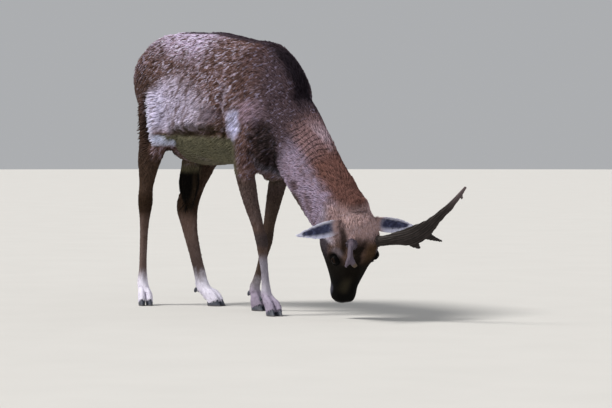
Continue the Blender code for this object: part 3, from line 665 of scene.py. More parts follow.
def dress_head(mesh):
    points = points_of(mesh)
    chosen = np.flatnonzero((from_head(points)[:, 0] < 0.14) & (points[:, 0] > HEAD_FROM))
    normal = normals_of(mesh)[chosen] @ HEAD_AXES
    q = face_relief(from_head(points[chosen]), normal)
    for sign in (1, -1):
        for start, end, width, depth in SLITS:
            q = slit(q, np.multiply(start, [1, 1, sign]), np.multiply(end, [1, 1, sign]), width,
                     depth, normal)
        q = lids(q, normal, sign)
    q = slit(q, (-0.170, -0.022, 0.0), (-0.194, -0.066, 0.0), 0.0016, 0.0018, normal)
    points[chosen] = in_head(q)
    put(mesh, points)
    return len(chosen)


print("points moved on the head", dress_head(skin))

# %% [markdown]
# ## Relief of body and limbs
#
# Under the short hair of a limb the bone and the tendon behind it show as two cords with a
# groove between them, and below the fetlock the two toes part. On the trunk the hip bone and
# the ribs only just show through the coat. Each is a bell or a slow wave added along the normal.


# %% Tendons, toes and ribs
def limb_relief(points, normal):
    lift = np.zeros(len(points))
    for limb in LIMBS:
        heading = FEET[limb][0] * LIMB_TWIST[limb[:4]]
        z = points[:, 2]
        x, y, wide = at_height(limb, z, 0, 1, 3)
        ahead, across = turned(points[:, 0] - x, points[:, 1] - y, -heading)
        mine = np.hypot(ahead, across) < 3.2 * wide
        shaft = rise(z, 0.105, 0.13) * (1 - rise(z, 0.21, 0.30) * ("fore" in limb)
                                        - rise(z, 0.30, 0.40) * ("hind" in limb))
        groove = bell(ahead + 0.25 * wide, 0.0042) * rise(np.abs(across), 0.4 * wide, 0.8 * wide)
        cleft = bell(across, 0.0034) * rise(np.abs(ahead), 0.004, 0.012) * (1 - rise(z, 0.050, 0.075))
        lift -= mine * (0.0022 * shaft * groove + 0.0050 * cleft)
    return points + normal * lift[:, None]


# Creases and swellings of the flank in the side view: start, end, width, height.
CREASES = [
    ((-0.598, 0.745), (-0.562, 0.605), 0.026, 0.0110),      # the full flank
    ((-0.646, 0.765), (-0.608, 0.580), 0.017, -0.0260),     # before the thigh
    ((-0.440, 0.648), (-0.240, 0.655), 0.024, 0.0060),      # low on the flank
    ((-0.485, 0.606), (-0.180, 0.616), 0.011, -0.0110),     # above the belly
    ((-0.165, 0.765), (-0.172, 0.590), 0.014, -0.0120),     # behind the elbow
    ((-0.112, 0.700), (-0.100, 0.600), 0.030, 0.0060),      # the elbow
]


def crease(x, z, start, end, width):
    """A bell across a line drawn on the flank in the side view."""
    way = np.subtract(end, start)
    t = np.clip(((x - start[0]) * way[0] + (z - start[1]) * way[1]) / (way @ way), 0, 1)
    away = np.hypot(x - start[0] - t * way[0], z - start[1] - t * way[1])
    return bell(away, width)


def trunk_relief(points, normal):
    """Ribs, hip and hollow of the flank; then the deep crease before the thigh with the full
    flank ahead of it, the crease behind the elbow and the fold above the belly."""
    x, y, z = points.T
    head, neck, limb = shares(points)
    trunk = (1 - head) * (1 - neck) * (1 - limb)
    side = rise(np.abs(y), 0.07, 0.12)
    ribs = np.sin((x + 0.30 * z) * 2 * np.pi / 0.047) * rise(x, -0.50, -0.38) * rise(-x, 0.14, 0.20)
    ribs = ribs * rise(z, 0.56, 0.62) * rise(-z, -0.86, -0.78)
    hip = bell(np.sqrt((x + 0.520)**2 + (np.abs(y) - 0.105)**2 + (z - 0.900)**2), 0.045)
    hollow = bell(x + 0.470, 0.055) * bell(z - 0.800, 0.060)
    wave = np.sin((0.55 * x - 0.83 * z) * 330 + 1.6 * np.sin(x * 37 + y * 31))
    folds = neck * rise(wave, 0.3, 1.0) * side_of_nape(points)
    lift = trunk * side * (0.0009 * ribs - 0.0070 * hollow) + 0.0060 * trunk * hip - 0.0022 * folds
    lift += side * (1 - limb) * sum(height * crease(x, z, start, end, width)
                                    for start, end, width, height in CREASES)
    return points + normal * lift[:, None]


def side_of_nape(points):
    """1 beside the nape over the middle of the neck, where its skin folds as it is lowered."""
    high = beyond(points, *NAPE_PLANE)
    along = beyond(points, *ALONG_PLANE)
    return rise(high, 0.025, 0.055) * (1 - rise(high, 0.105, 0.120)) * rise(along, 0.02, 0.07) \
        * (1 - rise(along, 0.20, 0.25))


place = points_of(skin)
place = trunk_relief(place, normals_of(skin))
put(skin, place)
put(skin, limb_relief(points_of(skin), normals_of(skin)))
print("skin", len(skin.vertices), "points,", sum(len(p.vertices) - 2 for p in skin.polygons), "triangles")

# %% [markdown]
# ## Ears
#
# An ear is a leaf rolled into a trough. Two sheets, one inside and one outside, share their
# edge, so the ear is a closed shell. It is too thin for the voxel remesh and joins the skin
# as a shell of its own, its foot sunk in the head under the hair.


# %% Ears
# Base, tip and the way the trough opens, in the head's frame; +1 is the left ear.
EARS = {
    1: ((0.115, -0.033, 0.056), (0.069, -0.046, 0.216), (0.10, 0.93, -0.20)),
    -1: ((0.115, -0.036, -0.058), (0.077, -0.058, -0.196), (0.20, 0.88, -0.38)),
}


def ear_section(t):
    """Half width along the leaf, a power of a sine from foot to tip, and its curl."""
    wide = 0.0325 * np.sin(np.pi * np.clip(0.33 + 0.65 * t, 0, 1)) ** 1.1 + 0.0012
    return wide, 1.30 - 0.55 * t + 0.3 * (1 - rise(t, 0.0, 0.22))


def ear(sign, rings=48, around=56):
    """Section of the leaf: (r sin b, r(1 - cos b)) with b across the leaf from -curl to curl."""
    t = np.linspace(0.0, 1.0, rings)[:, None]
    wide, curl = ear_section(t)
    angle = np.arange(around) * 2 * np.pi / around
    u = np.cos(angle)[None]
    wall = 0.0021 * (1 - 0.45 * t) * np.sign(np.sin(angle)) * np.abs(np.sin(angle)) ** 0.5
    bend = u * curl
    ripple = 0.0006 * np.sin(t * 40 + 3 * u) * rise(t, 0.1, 0.3)
    out = wide / curl * np.sin(bend)
    deep = wide / curl * (1 - np.cos(bend)) + wall + ripple
    base, tip, opening = (np.array(v) for v in EARS[sign])
    way = tip - base
    opening = unit(opening - (opening @ way) / (way @ way) * way)
    across = np.cross(unit(way), opening)
    sag = 0.004 * np.sin(np.pi * t[:, :, None]) * opening
    line = base + t * way
    return in_head(line[:, None] + out[..., None] * across + deep[..., None] * opening + sag)


def ear_hollow(sign):
    """A function of points and normals: 1 in the trough of the ear, 0 on its rim and back."""
    base, tip, opening = (np.array(v) for v in EARS[sign])
    way, across = tip - base, unit(np.cross(tip - base, opening))

    def share(points, normals):
        q = from_head(points) - base
        t = np.clip(q @ way / (way @ way), 0, 1)
        wide, curl = ear_section(t)
        reach = np.abs(q @ across) / (wide / curl * np.sin(np.minimum(curl, np.pi / 2)))
        return rise(normals @ HEAD_AXES @ unit(opening), 0.0, 0.35) * (1 - rise(reach, 0.40, 0.92)) \
            * rise(t, 0.03, 0.30) * (1 - rise(t, 0.84, 0.95))
    return share


ears = {sign: ear(sign) for sign in (1, -1)}
print("ear grid", ears[1].shape, "left tip at", (ears[1][-1].mean(0) + MOVE).round(3))


# %% [markdown]
# ## Eyes
#
# A deer's eye is almost all iris, dark brown, with a long level pupil. The ball is a sphere
# with a slight swelling in front, the cornea. Each point remembers where it lies across the
# eye, so that iris and pupil can be drawn by the finish.


# %% Eyeballs
def eyeball(side, sign, rings=48, around=64):
    """A sphere about the eye's axis whose radius swells by a bell near the front."""
    polar = np.linspace(0, np.pi, rings + 2)[1:-1, None]
    turn = np.arange(around)[None] * 2 * np.pi / around
    local = np.stack([np.sin(polar) * np.cos(turn), np.sin(polar) * np.sin(turn),
                      np.cos(polar) * np.ones_like(turn)], -1)
    swell = EYE_RADIUS + 0.0007 * bell(polar, 0.55)
    grid = in_head((local * swell[..., None]) @ eye_frame(sign) + EYE_AT * [1, 1, sign]) + MOVE
    mesh = welded(new_mesh(f"eye_ball_{side}", *close(grid)))
    place = (from_head(points_of(mesh) - MOVE) - EYE_AT * [1, 1, sign]) @ eye_frame(sign).T
    give(mesh, "across", place / EYE_RADIUS, "FLOAT_VECTOR")
    mesh.shade_smooth()
    return add_object(f"eye_ball_{side}", mesh)


eyes = {side: eyeball(side, sign) for side, sign in (("left", 1), ("right", -1))}
print("eyes", [len(thing.data.vertices) for thing in eyes.values()], "points each")

# %% [markdown]
# ## Antlers
#
# The left antler spreads into a blade, a palm with points along its hind edge. The right one
# is broken off short and ends in a fork. Both stand on a rough ring, the burr, and have
# furrows where blood vessels ran while they grew.
#
# Each antler is a few tubes fused by a fine voxel remesh. The furrows follow the antler, so
# every point first finds the nearest place on the middle line, and from it its distance along
# the antler and its angle around it.


# %% Antlers
# Rows in the head's frame: along, out of the face, to the left, half width, half thickness.
ANTLER_LEFT = [
    (0.078, 0.036, 0.047, 0.0165, 0.0150), (0.087, 0.053, 0.060, 0.0165, 0.0130),
    (0.104, 0.075, 0.084, 0.0200, 0.0110), (0.122, 0.103, 0.106, 0.0270, 0.0095),
    (0.144, 0.128, 0.129, 0.0300, 0.0085), (0.172, 0.147, 0.150, 0.0250, 0.0080),
    (0.218, 0.167, 0.174, 0.0150, 0.0070), (0.271, 0.185, 0.206, 0.0110, 0.0060),
    (0.338, 0.193, 0.245, 0.0040, 0.0035),
]
LEFT_POINTS = [
    [(0.119, 0.114, 0.119, 0.0200, 0.0085), (0.104, 0.124, 0.135, 0.0130, 0.0060),
     (0.092, 0.133, 0.150, 0.0030, 0.0028)],
    [(0.148, 0.137, 0.153, 0.0170, 0.0080), (0.136, 0.150, 0.180, 0.0085, 0.0055),
     (0.128, 0.164, 0.209, 0.0024, 0.0024)],
    [(0.312, 0.191, 0.231, 0.0070, 0.0050), (0.303, 0.196, 0.234, 0.0040, 0.0040),
     (0.298, 0.199, 0.236, 0.0018, 0.0018)],
]
ANTLER_RIGHT = [
    (0.078, 0.036, -0.047, 0.0150, 0.0140), (0.086, 0.058, -0.060, 0.0100, 0.0095),
    (0.080, 0.082, -0.075, 0.0080, 0.0078), (0.062, 0.104, -0.080, 0.0110, 0.0082),
    (0.044, 0.120, -0.068, 0.0060, 0.0060),
]
RIGHT_POINTS = [
    [(0.068, 0.098, -0.080, 0.0110, 0.0090), (0.056, 0.112, -0.096, 0.0070, 0.0060),
     (0.048, 0.120, -0.106, 0.0025, 0.0025)],
]
BLADE_FACES = np.array([0.45, 0.79, -0.42])
ANTLER_GRAIN = 0.0016


def blade(rows, flat, rings, around):
    rows = np.array([(a, f, left, w, t, t) for a, f, left, w, t in rows])
    rows[:, :3] = in_head(rows[:, :3])
    return tube(rows, HEAD_AXES @ flat, rings, around)


BURR_TURN, BURR_ROUND = 88, 20      # steps round the antler, and round the ring's own section
BURR_RADIUS = 0.0160
LINE_STEPS = 240                    # places on the middle line of an antler
BLOCK = 4000                        # points that look for their nearest place at a time


def burr(rows, pearls=11):
    """A ring round the foot of the antler: a circle swept round it and swollen in beads."""
    foot, way = in_head(rows[0][:3]), unit(in_head(rows[1][:3]) - in_head(rows[0][:3]))
    side = unit(np.cross(way, [0.3, 0.2, 1.0]))
    turn = np.arange(BURR_TURN)[:, None] * 2 * np.pi / BURR_TURN
    ring = np.arange(BURR_ROUND)[None] * 2 * np.pi / BURR_ROUND
    bead = 0.0030 + 0.0011 * np.sin(pearls * turn) + 0.0005 * np.sin(5 * turn + 1)
    out = BURR_RADIUS + bead * np.cos(ring)
    spoke = np.cos(turn)[..., None] * side + np.sin(turn)[..., None] * np.cross(way, side)
    grid = foot + 0.003 * way + out[..., None] * spoke + (bead * np.sin(ring))[..., None] * way
    a = np.arange(BURR_TURN * BURR_ROUND).reshape(BURR_TURN, BURR_ROUND)
    b = np.roll(a, -1, 0)
    c, d = np.roll(b, -1, 1), np.roll(a, -1, 1)
    faces = np.vstack([np.stack([a, b, c], -1).reshape(-1, 3), np.stack([a, c, d], -1).reshape(-1, 3)])
    return grid.reshape(-1, 3), faces


def furrows(mesh, rows, flat):
    """Deepens long waves along the antler: sines of the angle around it whose phase drifts
    with the distance along it; the points are left smooth."""
    line = through([(*in_head(r[:3]), *r[3:]) for r in rows], LINE_STEPS)
    points, normal = points_of(mesh), normals_of(mesh)
    near = np.empty(len(points), int)
    for start in range(0, len(points), BLOCK):
        block = slice(start, start + BLOCK)
        near[block] = ((points[block, None] - line[None, :, :3]) ** 2).sum(-1).argmin(1)
    way = unit(np.gradient(line[:, :3], axis=0))[near]
    facing = unit(HEAD_AXES @ flat - (way @ (HEAD_AXES @ flat))[:, None] * way)
    arm = points - line[near, :3]
    across = np.einsum("ij,ij->i", arm, np.cross(facing, way))
    along = near / LINE_STEPS
    wave = (np.sin(across * 900 + 4 * np.sin(along * 9)) + 0.7 * np.sin(across * 1650 + along * 21 + 1)
            + 0.5 * np.sin(across * 520 - along * 33 + 2))
    rough = np.sin(points[:, 0] * 700) * np.sin(points[:, 1] * 640 + 1) * np.sin(points[:, 2] * 810)
    rough = rough * (1 - rise(along, 0.10, 0.30))
    lift = -0.00055 * wave * rise(along, 0.02, 0.10) * (1 - rise(along, 0.90, 1.0)) + 0.0009 * rough
    put(mesh, points + normal * lift[:, None] + MOVE)
    give(mesh, "along", along)
    give(mesh, "groove", wave * 0.25 + 0.5)


def antler(name, rows, points, flat):
    grids = [blade(rows, flat, 120, 48)] + [blade(p, flat, 40, 24) for p in points]
    mesh = welded(new_mesh(name, *joined([close(g) for g in grids] + [burr(rows)])))
    mesh = modified(mesh, "REMESH", mode="VOXEL", voxel_size=ANTLER_GRAIN)
    put(mesh, relaxed(points_of(mesh), edges_of(mesh), np.ones(len(mesh.vertices)), 5))
    furrows(mesh, rows, flat)
    mesh.name = name
    mesh.shade_smooth()
    print(name, len(mesh.vertices), "points")
    return add_object(name, mesh)


antlers = {
    "left": antler("antler_left", ANTLER_LEFT, LEFT_POINTS, BLADE_FACES),
    "right": antler("antler_right", ANTLER_RIGHT, RIGHT_POINTS, BLADE_FACES * [1, 1, -1]),
}

# %% [markdown]
# ## Hooves
#
# A deer stands on the tips of two toes. Each is shod in a claw of horn: a pointed sole, a
# steep wall that leans back, and a softer heel. The wall grows from the top down and shows
# that as fine rings. Two small dewclaws hang behind each fetlock.


# %% Claws and dewclaws
CLAW_LENGTH, CLAW_HALF_WIDTH, CLAW_FRONT, CLAW_HEEL = 0.060, 0.0118, 0.040, 0.024
CLAW_APART, CLAW_SPLAY = 0.0130, 3.0   # each claw off the middle line, and turned out, degrees
DEW_AT = (-0.80, -0.014, 0.0110)       # behind the fetlock as a share of its depth, below, aside
DEW_HALF = (0.0065, 0.0054, 0.0105)
DEW_LEAN = 28.0                        # degrees
FETLOCK = 9                            # the row of a limb's list that the dewclaws hang behind


def claw(heading, foot, side, rings=30, around=72):
    """Ovals with a pinched toe, stacked from the sole to the coronet; the rings of growth
    are a fine wave on the width, and the sole's edge is rounded by a quarter circle."""
    level = np.linspace(0, 1, rings)[:, None]
    angle = np.arange(around)[None] * 2 * np.pi / around
    long, wide = np.cos(angle), np.sin(angle)
    pinch = wide * (1 - 0.42 * np.clip(long, 0, 1) ** 2)
    edge = np.sqrt(1 - (1 - rise(level, -0.02, 0.045)) ** 2 * 0.10)
    growth = 1 + 0.010 * np.sin(level * 60) * rise(level, 0.08, 0.16) * (1 - rise(level, 0.85, 1.0))
    length = CLAW_LENGTH / 2 * (1 - 0.36 * level) * edge * growth
    width = CLAW_HALF_WIDTH * (1 - 0.10 * level + 0.10 * np.sin(np.pi * level)) * edge * growth
    inner = np.where(wide * side < 0, 0.90, 1.0)
    high = ((CLAW_HEEL + CLAW_FRONT) / 2 + (CLAW_FRONT - CLAW_HEEL) / 2 * long) * level
    x, y = -0.0125 * level + length * long, width * pinch * inner
    x, y = turned(x, y, CLAW_SPLAY * side)
    x, y = turned(x, y + side * CLAW_APART, heading)
    return np.stack([foot[0] + x, foot[1] + y, high], -1)


def dewclaw(limb, side):
    back = (HIND_SIZES if "hind" in limb else FORE_SIZES)[FETLOCK][2]
    ball = ellipsoid((DEW_AT[0] * back, side * DEW_AT[2], DEW_AT[1]), DEW_HALF, DEW_LEAN, 20, 28)
    x, y = turned(ball[..., 0], ball[..., 1], FEET[limb][0] * LIMB_TWIST[limb[:4]])
    return np.stack([x, y, ball[..., 2]], -1) + np.asarray(LIMBS[limb][FETLOCK])


horns = []
for limb, (heading, foot) in FEET.items():
    for side, sign in (("left", 1), ("right", -1)):
        for kind, grid in (("hoof", claw(heading, foot, sign)),
                           ("dewclaw", dewclaw(limb, sign))):
            mesh = welded(new_mesh(f"{kind}_{limb}_{side}", *close(grid + MOVE)))
            mesh.shade_smooth()
            thing = add_object(f"{kind}_{limb}_{side}", mesh)
            horns.append(hand_over(thing, "hoof_horn", f"{limb}_{kind}_{side}"))
print("hooves and dewclaws", len(horns))

# %% [markdown]
# ## Tail, brush and the finished skin
#
# The dock of the tail and the sheath under the belly carry long hair. Each gets a slim core,
# a tube like the others, that joins the skin. The skin then stands for every solid of flesh.


# %% Cores and skin object
# x, y, z, half width, to the front, to the back.
TAIL = [
    (-0.752, 0.0, 0.885, 0.022, 0.013, 0.013), (-0.783, 0.0, 0.848, 0.017, 0.010, 0.010),
    (-0.800, 0.0, 0.780, 0.013, 0.007, 0.007), (-0.804, 0.0, 0.715, 0.009, 0.006, 0.006),
    (-0.802, 0.0, 0.680, 0.004, 0.003, 0.003),
]
BRUSH = [
    (-0.588, 0.0, 0.560, 0.020, 0.028, 0.028), (-0.600, 0.0, 0.500, 0.025, 0.033, 0.031),
    (-0.605, 0.0, 0.455, 0.028, 0.036, 0.033), (-0.609, 0.0, 0.415, 0.020, 0.026, 0.024),
    (-0.611, 0.0, 0.385, 0.006, 0.007, 0.007),
]
# Skin over a claw: height, ahead of the middle of the hooves, share of the way out to the
# claw's own line, half width, half length.
SLEEVE = [
    (0.066, -0.031, 0.45, 0.0098, 0.0125), (0.050, -0.022, 0.74, 0.0118, 0.0165),
    (0.037, -0.014, 0.94, 0.0126, 0.0205), (0.026, -0.009, 1.00, 0.0126, 0.0230),
    (0.0145, -0.004, 1.00, 0.0124, 0.0248),
]
tail_core = tube(TAIL, (-1, 0, 0.3), 30, 24)
brush_core = tube(BRUSH, (1, 0, 0), 30, 30)


def toe(limb, side):
    """A sleeve of skin from the pastern down over the upper half of one claw: ovals about a
    line that leans back, as the claw's own wall does, and bends into the pastern above."""
    turn = math.radians(FEET[limb][0])
    ahead = np.array([math.cos(turn), math.sin(turn)])
    aside = np.array([-ahead[1], ahead[0]])
    foot, rows = np.array(FEET[limb][1]), []
    for up, back, out, wide, long in SLEEVE:
        pastern = np.array(at_height(limb, up, 0, 1)) + ahead * 0.003
        share = rise(up, 0.022, 0.058)
        middle = (foot + ahead * back) * (1 - share) + pastern * share + aside * side * CLAW_APART * out
        rows.append((*middle, up, wide, long * 0.97, long * 0.97))
    return tube(rows, (*ahead, 0.15), 24, 28)


toes = [toe(limb, sign) for limb in FEET for sign in (1, -1)]
extras = [close(grid) for grid in [ears[1], ears[-1], tail_core, brush_core] + toes]

outer_points, outer_faces, outer_normals = points_of(skin), triangles_of(skin), normals_of(skin)
extra_mesh = welded(new_mesh("extras", *joined(extras)))
extra_points = points_of(extra_mesh)
skin_points, skin_faces = joined([(outer_points, outer_faces),
                                  (extra_points, triangles_of(extra_mesh))])
skin_mesh = new_mesh("deer_skin", skin_points + MOVE, skin_faces)
skin_mesh.shade_smooth()
hollow = np.zeros(len(skin_points))
q = from_head(extra_points)
for sign in (1, -1):
    on_ear = (q[:, 2] * sign > 0.03) & (q[:, 0] > 0.02) & (extra_points[:, 0] > HEAD_FROM)
    inside = ear_hollow(sign)(extra_points, normals_of(extra_mesh))
    hollow[len(outer_points):][on_ear] = inside[on_ear]
give(skin_mesh, "hollow", hollow)
FLESH = ["trunk", "hindquarters", "neck", "head", "ear_left", "ear_right", "tail"]
for limb in LIMBS:
    upper = "shank" if "hind" in limb else "forearm"
    FLESH += [f"{limb}_{part}" for part in (upper, "cannon", "pastern")]
deer_skin = hand_over(add_object("deer_skin", skin_mesh), "coat", *FLESH)
print("skin stands for", len(FLESH), "solids;", len(skin_faces), "triangles")

# %% [markdown]
# ## The lie of the coat
#
# Hair grows in currents. It starts at the nose, runs up over the face to the poll, along the
# neck to the shoulders, back and down over the flanks, and down the limbs. A current is a
# blend of a few fixed directions by the shares of the body, laid flat on the skin.
#
# A lock of hair is a thin three-sided blade: it starts under the skin, swells, and runs out to
# a point. Thousands of locks are one array, and each coat piece is one mesh.


# %% Currents of the hair
def waves(points, size, seed):
    """A slow wobble from -1 to 1: the sum of six sines in random directions, each with a
    wavelength near the given size."""
    draw = np.random.default_rng(seed)
    ways = unit(draw.normal(size=(6, 3))) * draw.uniform(0.6, 1.6, (6, 1)) * 2 * np.pi / size
    return np.sin(points @ ways.T + draw.uniform(0, 6.28, 6)).sum(1) / 3.5


def lie(points, normals):
    """The way of the hair at each point, flat on the skin."""
    head, neck, limb = shares(points)
    q = from_head(points)
    x, _, z = points.T
    rump, shoulder = rise(-x, 0.62, 0.76), rise(x, -0.17, -0.04)
    down = 0.35 + 1.6 * rump + 0.75 * shoulder - 0.30 * rise(-z, -0.60, -0.52)
    trunk = np.stack([-1 + 0.6 * rump + 0.35 * shoulder, 0 * x, -down], 1)
    side = 0.5 * rise(-beyond(points, *NAPE_PLANE), -0.10, 0.08)
    collar = np.stack([-0.80 - 0.2 * side, 0 * x, 0.50 - side], 1)
    face = np.stack([np.ones_like(x), -0.45 * rise(np.abs(q[:, 2]), 0.03, 0.07), 0.35 * q[:, 2] / 0.07], 1)
    leg = np.stack([np.full_like(x, -0.16), 0 * x, -np.ones_like(x)], 1)
    way = (unit(trunk) * (1 - head - neck - limb * (1 - head))[:, None] + unit(collar) * neck[:, None]
           + unit(face) @ HEAD_AXES.T * head[:, None] + unit(leg) * (limb * (1 - head))[:, None])
    wander = np.stack([waves(points, 0.045, seed) for seed in (3, 4, 5)], 1)
    way = way + (0.13 * (1 - 0.6 * limb - 0.6 * head))[:, None] * wander
    return unit(way - (way * normals).sum(1)[:, None] * normals)


TAPER_FROM = 0.72          # the last ring of a lock, as a share of its length


def locks(root, normal, way, length, width, lift, draw, rings):
    """Blades of hair. Middle line: root + way*L*s + normal*L*(lift*s - droop*s^2) + a sway
    to the side; half width: w/2*sin(pi(0.22 + 0.78 s))^0.8; section: a low ridge of three
    corners."""
    count = len(root)
    s = np.append(np.linspace(0, TAPER_FROM, rings), 1.0)[None, :, None]
    side = np.cross(normal, way)
    sway = draw.normal(0, 0.07, (count, 1, 1))
    droop = 0.55 * lift[:, None, None] + 0.02
    long = length[:, None, None]
    middle = (root - 0.0006 * normal)[:, None] + way[:, None] * long * s
    middle = middle + normal[:, None] * long * (lift[:, None, None] * s - droop * s**2)
    middle = middle + side[:, None] * long * sway * s**2
    half = width[:, None] / 2 * np.sin(np.pi * (0.22 + 0.78 * s[..., 0])) ** 0.8
    half = half[:, :rings, None]
    left, right = middle[:, :rings] - half * side[:, None], middle[:, :rings] + half * side[:, None]
    ridge = middle[:, :rings] + 0.75 * half * normal[:, None]
    body = np.stack([left, right, ridge], 2).reshape(count, rings * 3, 3)
    points = np.concatenate([body, middle[:, rings:]], 1)
    ring = np.arange(rings - 1)[:, None, None] * 3
    k = np.arange(3)[None, :, None]
    j = (k + 1) % 3
    wall = np.concatenate([np.concatenate([ring + k, ring + j, ring + 3 + j], 2),
                           np.concatenate([ring + k, ring + 3 + j, ring + 3 + k], 2)], 1).reshape(-1, 3)
    end = (rings - 1) * 3
    tip = np.array([[end, end + 1, end + 3], [end + 1, end + 2, end + 3], [end + 2, end, end + 3]])
    faces = np.vstack([wall, tip, [[0, 2, 1]]])
    size = rings * 3 + 1
    faces = (faces[None] + np.arange(count)[:, None, None] * size).reshape(-1, 3)
    along = np.append(np.repeat(s[0, :rings, 0], 3), 1.0)
    across = np.append(np.tile([0.0, 1.0, 0.5], rings), 0.5)
    return points, faces, along, across


print("one long lock has", 6 * 2 + 3 + 1, "triangles")

# %% [markdown]
# ## Coat pieces
#
# Each piece covers one region, so that no mesh grows too large. Roots are drawn at random,
# by area, from a fixed seed. Every lock also gets a small patch in a map named OFBake, at its
# root's place when the skin is unrolled like a label from a can: around one way, along the
# other. Colours put into this map then land next to those of their neighbours.


# %% Growing a coat piece
PATCH = 0.003              # side of a lock's patch in the map
MAP_EDGE = 0.002           # free border of the map
HALF_MAP = 0.49            # share of the map that each limb or ear of a pair gets


def can(points, kind):
    """Around and along a region, each 0 to 1 before the region is known: the angle about its
    middle line over a full turn, and the distance along it."""
    x, y, z = points.T
    q = from_head(points)
    if kind == "head":
        return np.arctan2(q[:, 2], q[:, 1] + SKULL_DEEP) / (2 * np.pi) + 0.5, q[:, 0]
    if kind == "neck":
        high = beyond(points, *NAPE_PLANE)
        return np.arctan2(y - 0.1 * np.maximum(x, 0), high) / (2 * np.pi) + 0.5, x - z
    if kind == "limb":
        front = np.zeros_like(x)
        for limb in LIMBS:
            at_x, at_y = at_height(limb, z, 0, 1, rows=60)
            dx, dy = x - at_x, y - at_y
            mine = np.hypot(dx, dy) < 0.13
            front = np.where(mine & ((y > 0) == ("left" in limb)), np.arctan2(dy, dx), front)
        return (front / (2 * np.pi) + 0.5) * HALF_MAP + 0.5 * (y > 0), z
    if kind == "ear":
        turn = np.arctan2(q[:, 1] + 0.045, q[:, 0] - 0.1) / (2 * np.pi)
        return turn * HALF_MAP + 0.25 + 0.5 * (y > 0.04), np.abs(q[:, 2])
    return np.arctan2(y, z - (TRUNK_HIGH - TRUNK_FALL * x)) / (2 * np.pi) + 0.5, x


def scaled(values):
    low, high = values.min(), values.max()
    return MAP_EDGE + (0.993 - PATCH) * (values - low) / max(high - low, 1e-6)


def grow(name, kind, points, faces, normals, count, length, width, lift, seed, rings, way=None,
         hollow_of=None, solids=()):
    """Roots by area; length, width and lift are functions of the root's place."""
    draw = np.random.default_rng(seed)
    corners = points[faces]
    area = np.linalg.norm(np.cross(corners[:, 1] - corners[:, 0], corners[:, 2] - corners[:, 0]), axis=1)
    pick = draw.choice(len(faces), count, p=area / area.sum())
    mix = draw.dirichlet((1, 1, 1), count)
    root = (corners[pick] * mix[:, :, None]).sum(1)
    normal = unit((normals[faces[pick]] * mix[:, :, None]).sum(1))
    flow = lie(root, normal) if way is None else way(root, normal)
    grow_by = draw.uniform(0.75, 1.25, count)
    made, tris, along, across = locks(root, normal, flow, length(root) * grow_by,
                                      width(root) * draw.uniform(0.7, 1.3, count),
                                      lift(root) * draw.uniform(0.5, 1.5, count), draw, rings)
    mesh = new_mesh(name, made.reshape(-1, 3) + MOVE, tris)
    around, up = can(root, kind)
    u = scaled(around)[:, None] + across[None] * PATCH
    v = scaled(up)[:, None] + along[None] * PATCH
    flat = np.stack([u, v], -1).reshape(-1, 2)[tris.ravel()]
    layer = mesh.uv_layers.new(name="OFBake")
    layer.data.foreach_set("uv", flat.astype(np.float32).ravel())
    give(mesh, "reach", np.tile(along, count))
    give(mesh, "tone", np.repeat(draw.uniform(0, 1, count), len(along)))
    if hollow_of is not None:
        give(mesh, "hollow", np.repeat(hollow_of(root, normal), len(along)))
    mesh.shade_smooth()
    print(name, count, "locks", len(tris), "triangles")
    return hand_over(add_object(name, mesh), "coat", *solids)


# %% Length and lift of the hair
def hair_length(points):
    a = from_head(points)[:, 0]
    on_head = 0.0042 + 0.0095 * rise(a, -0.10, 0.06) + 0.008 * rise(a, 0.06, 0.14)
    return by_part(points, 0.030, 0.026, 0.0085 + 0.016 * rise(points[:, 2], 0.30, 0.52), on_head)


def hair_width(points):
    on_head = 0.0013 + 0.0016 * rise(from_head(points)[:, 0], -0.06, 0.10)
    return by_part(points, 0.0040, 0.0036, 0.0020 + 0.0022 * rise(points[:, 2], 0.30, 0.52), on_head)


def hair_lift(points):
    """Locks stand up a little more over the croup, the withers and the poll, and in patches."""
    loose = 0.5 + 0.5 * waves(points, 0.060, 21)
    lift = 0.20 + 0.10 * loose * rise(points[:, 2], 0.66, 0.86)
    a = from_head(points)[:, 0]
    return by_part(points, lift, lift, 0.17, 0.17) + 0.15 * rise(a, 0.10, 0.12) * rise(a, 0.175, 0.155)


centre = outer_points[outer_faces].mean(1)
head_of, neck_of, limb_of = shares(centre)
on_trunk = (head_of < 0.5) & (neck_of < 0.5) & (limb_of < 0.5)
rump, upper = centre[:, 0] < -0.56, centre[:, 2] > 0.80
middle = on_trunk & ~rump
up_head, fore = from_head(centre)[:, 0], centre[:, 0] > -0.4
bare = (up_head < -0.176) & (head_of > 0.5)
in_lid = eye_gap(from_head(centre)) < 0.0175
poll = (up_head > 0.095) & (up_head < 0.175) & (centre[:, 0] > POLL_FROM)
REGIONS = [
    ("coat_rump", "trunk", on_trunk & rump, 11000, 3),
    ("coat_back", "trunk", middle & upper, 11000, 3),
    ("coat_flank_right", "trunk", middle & ~upper & (centre[:, 1] < 0), 11000, 3),
    ("coat_flank_left", "trunk", middle & ~upper & (centre[:, 1] >= 0), 11000, 3),
    ("coat_neck", "neck", neck_of >= 0.5, 10500, 3),
    ("coat_head", "head", (head_of >= 0.5) & ~bare & ~in_lid, 15500, 2),
    ("coat_poll", "head", poll, 2200, 2),
    ("coat_fore_limbs", "limb", (limb_of >= 0.5) & fore, 13000, 2),
    ("coat_hind_limbs", "limb", (limb_of >= 0.5) & ~fore, 14000, 2),
]
THIN = 1
coat = []
for seed, (name, kind, chosen, count, rings) in enumerate(REGIONS, 100):
    coat.append(grow(name, kind, outer_points, outer_faces[chosen], outer_normals, count // THIN,
                     hair_length, hair_width, hair_lift, seed, rings))


# %% Hair of ears, tail and brush
def shell_arrays(*grids):
    mesh = welded(new_mesh("shell", *joined([close(grid) for grid in grids])))
    return points_of(mesh), triangles_of(mesh), normals_of(mesh)


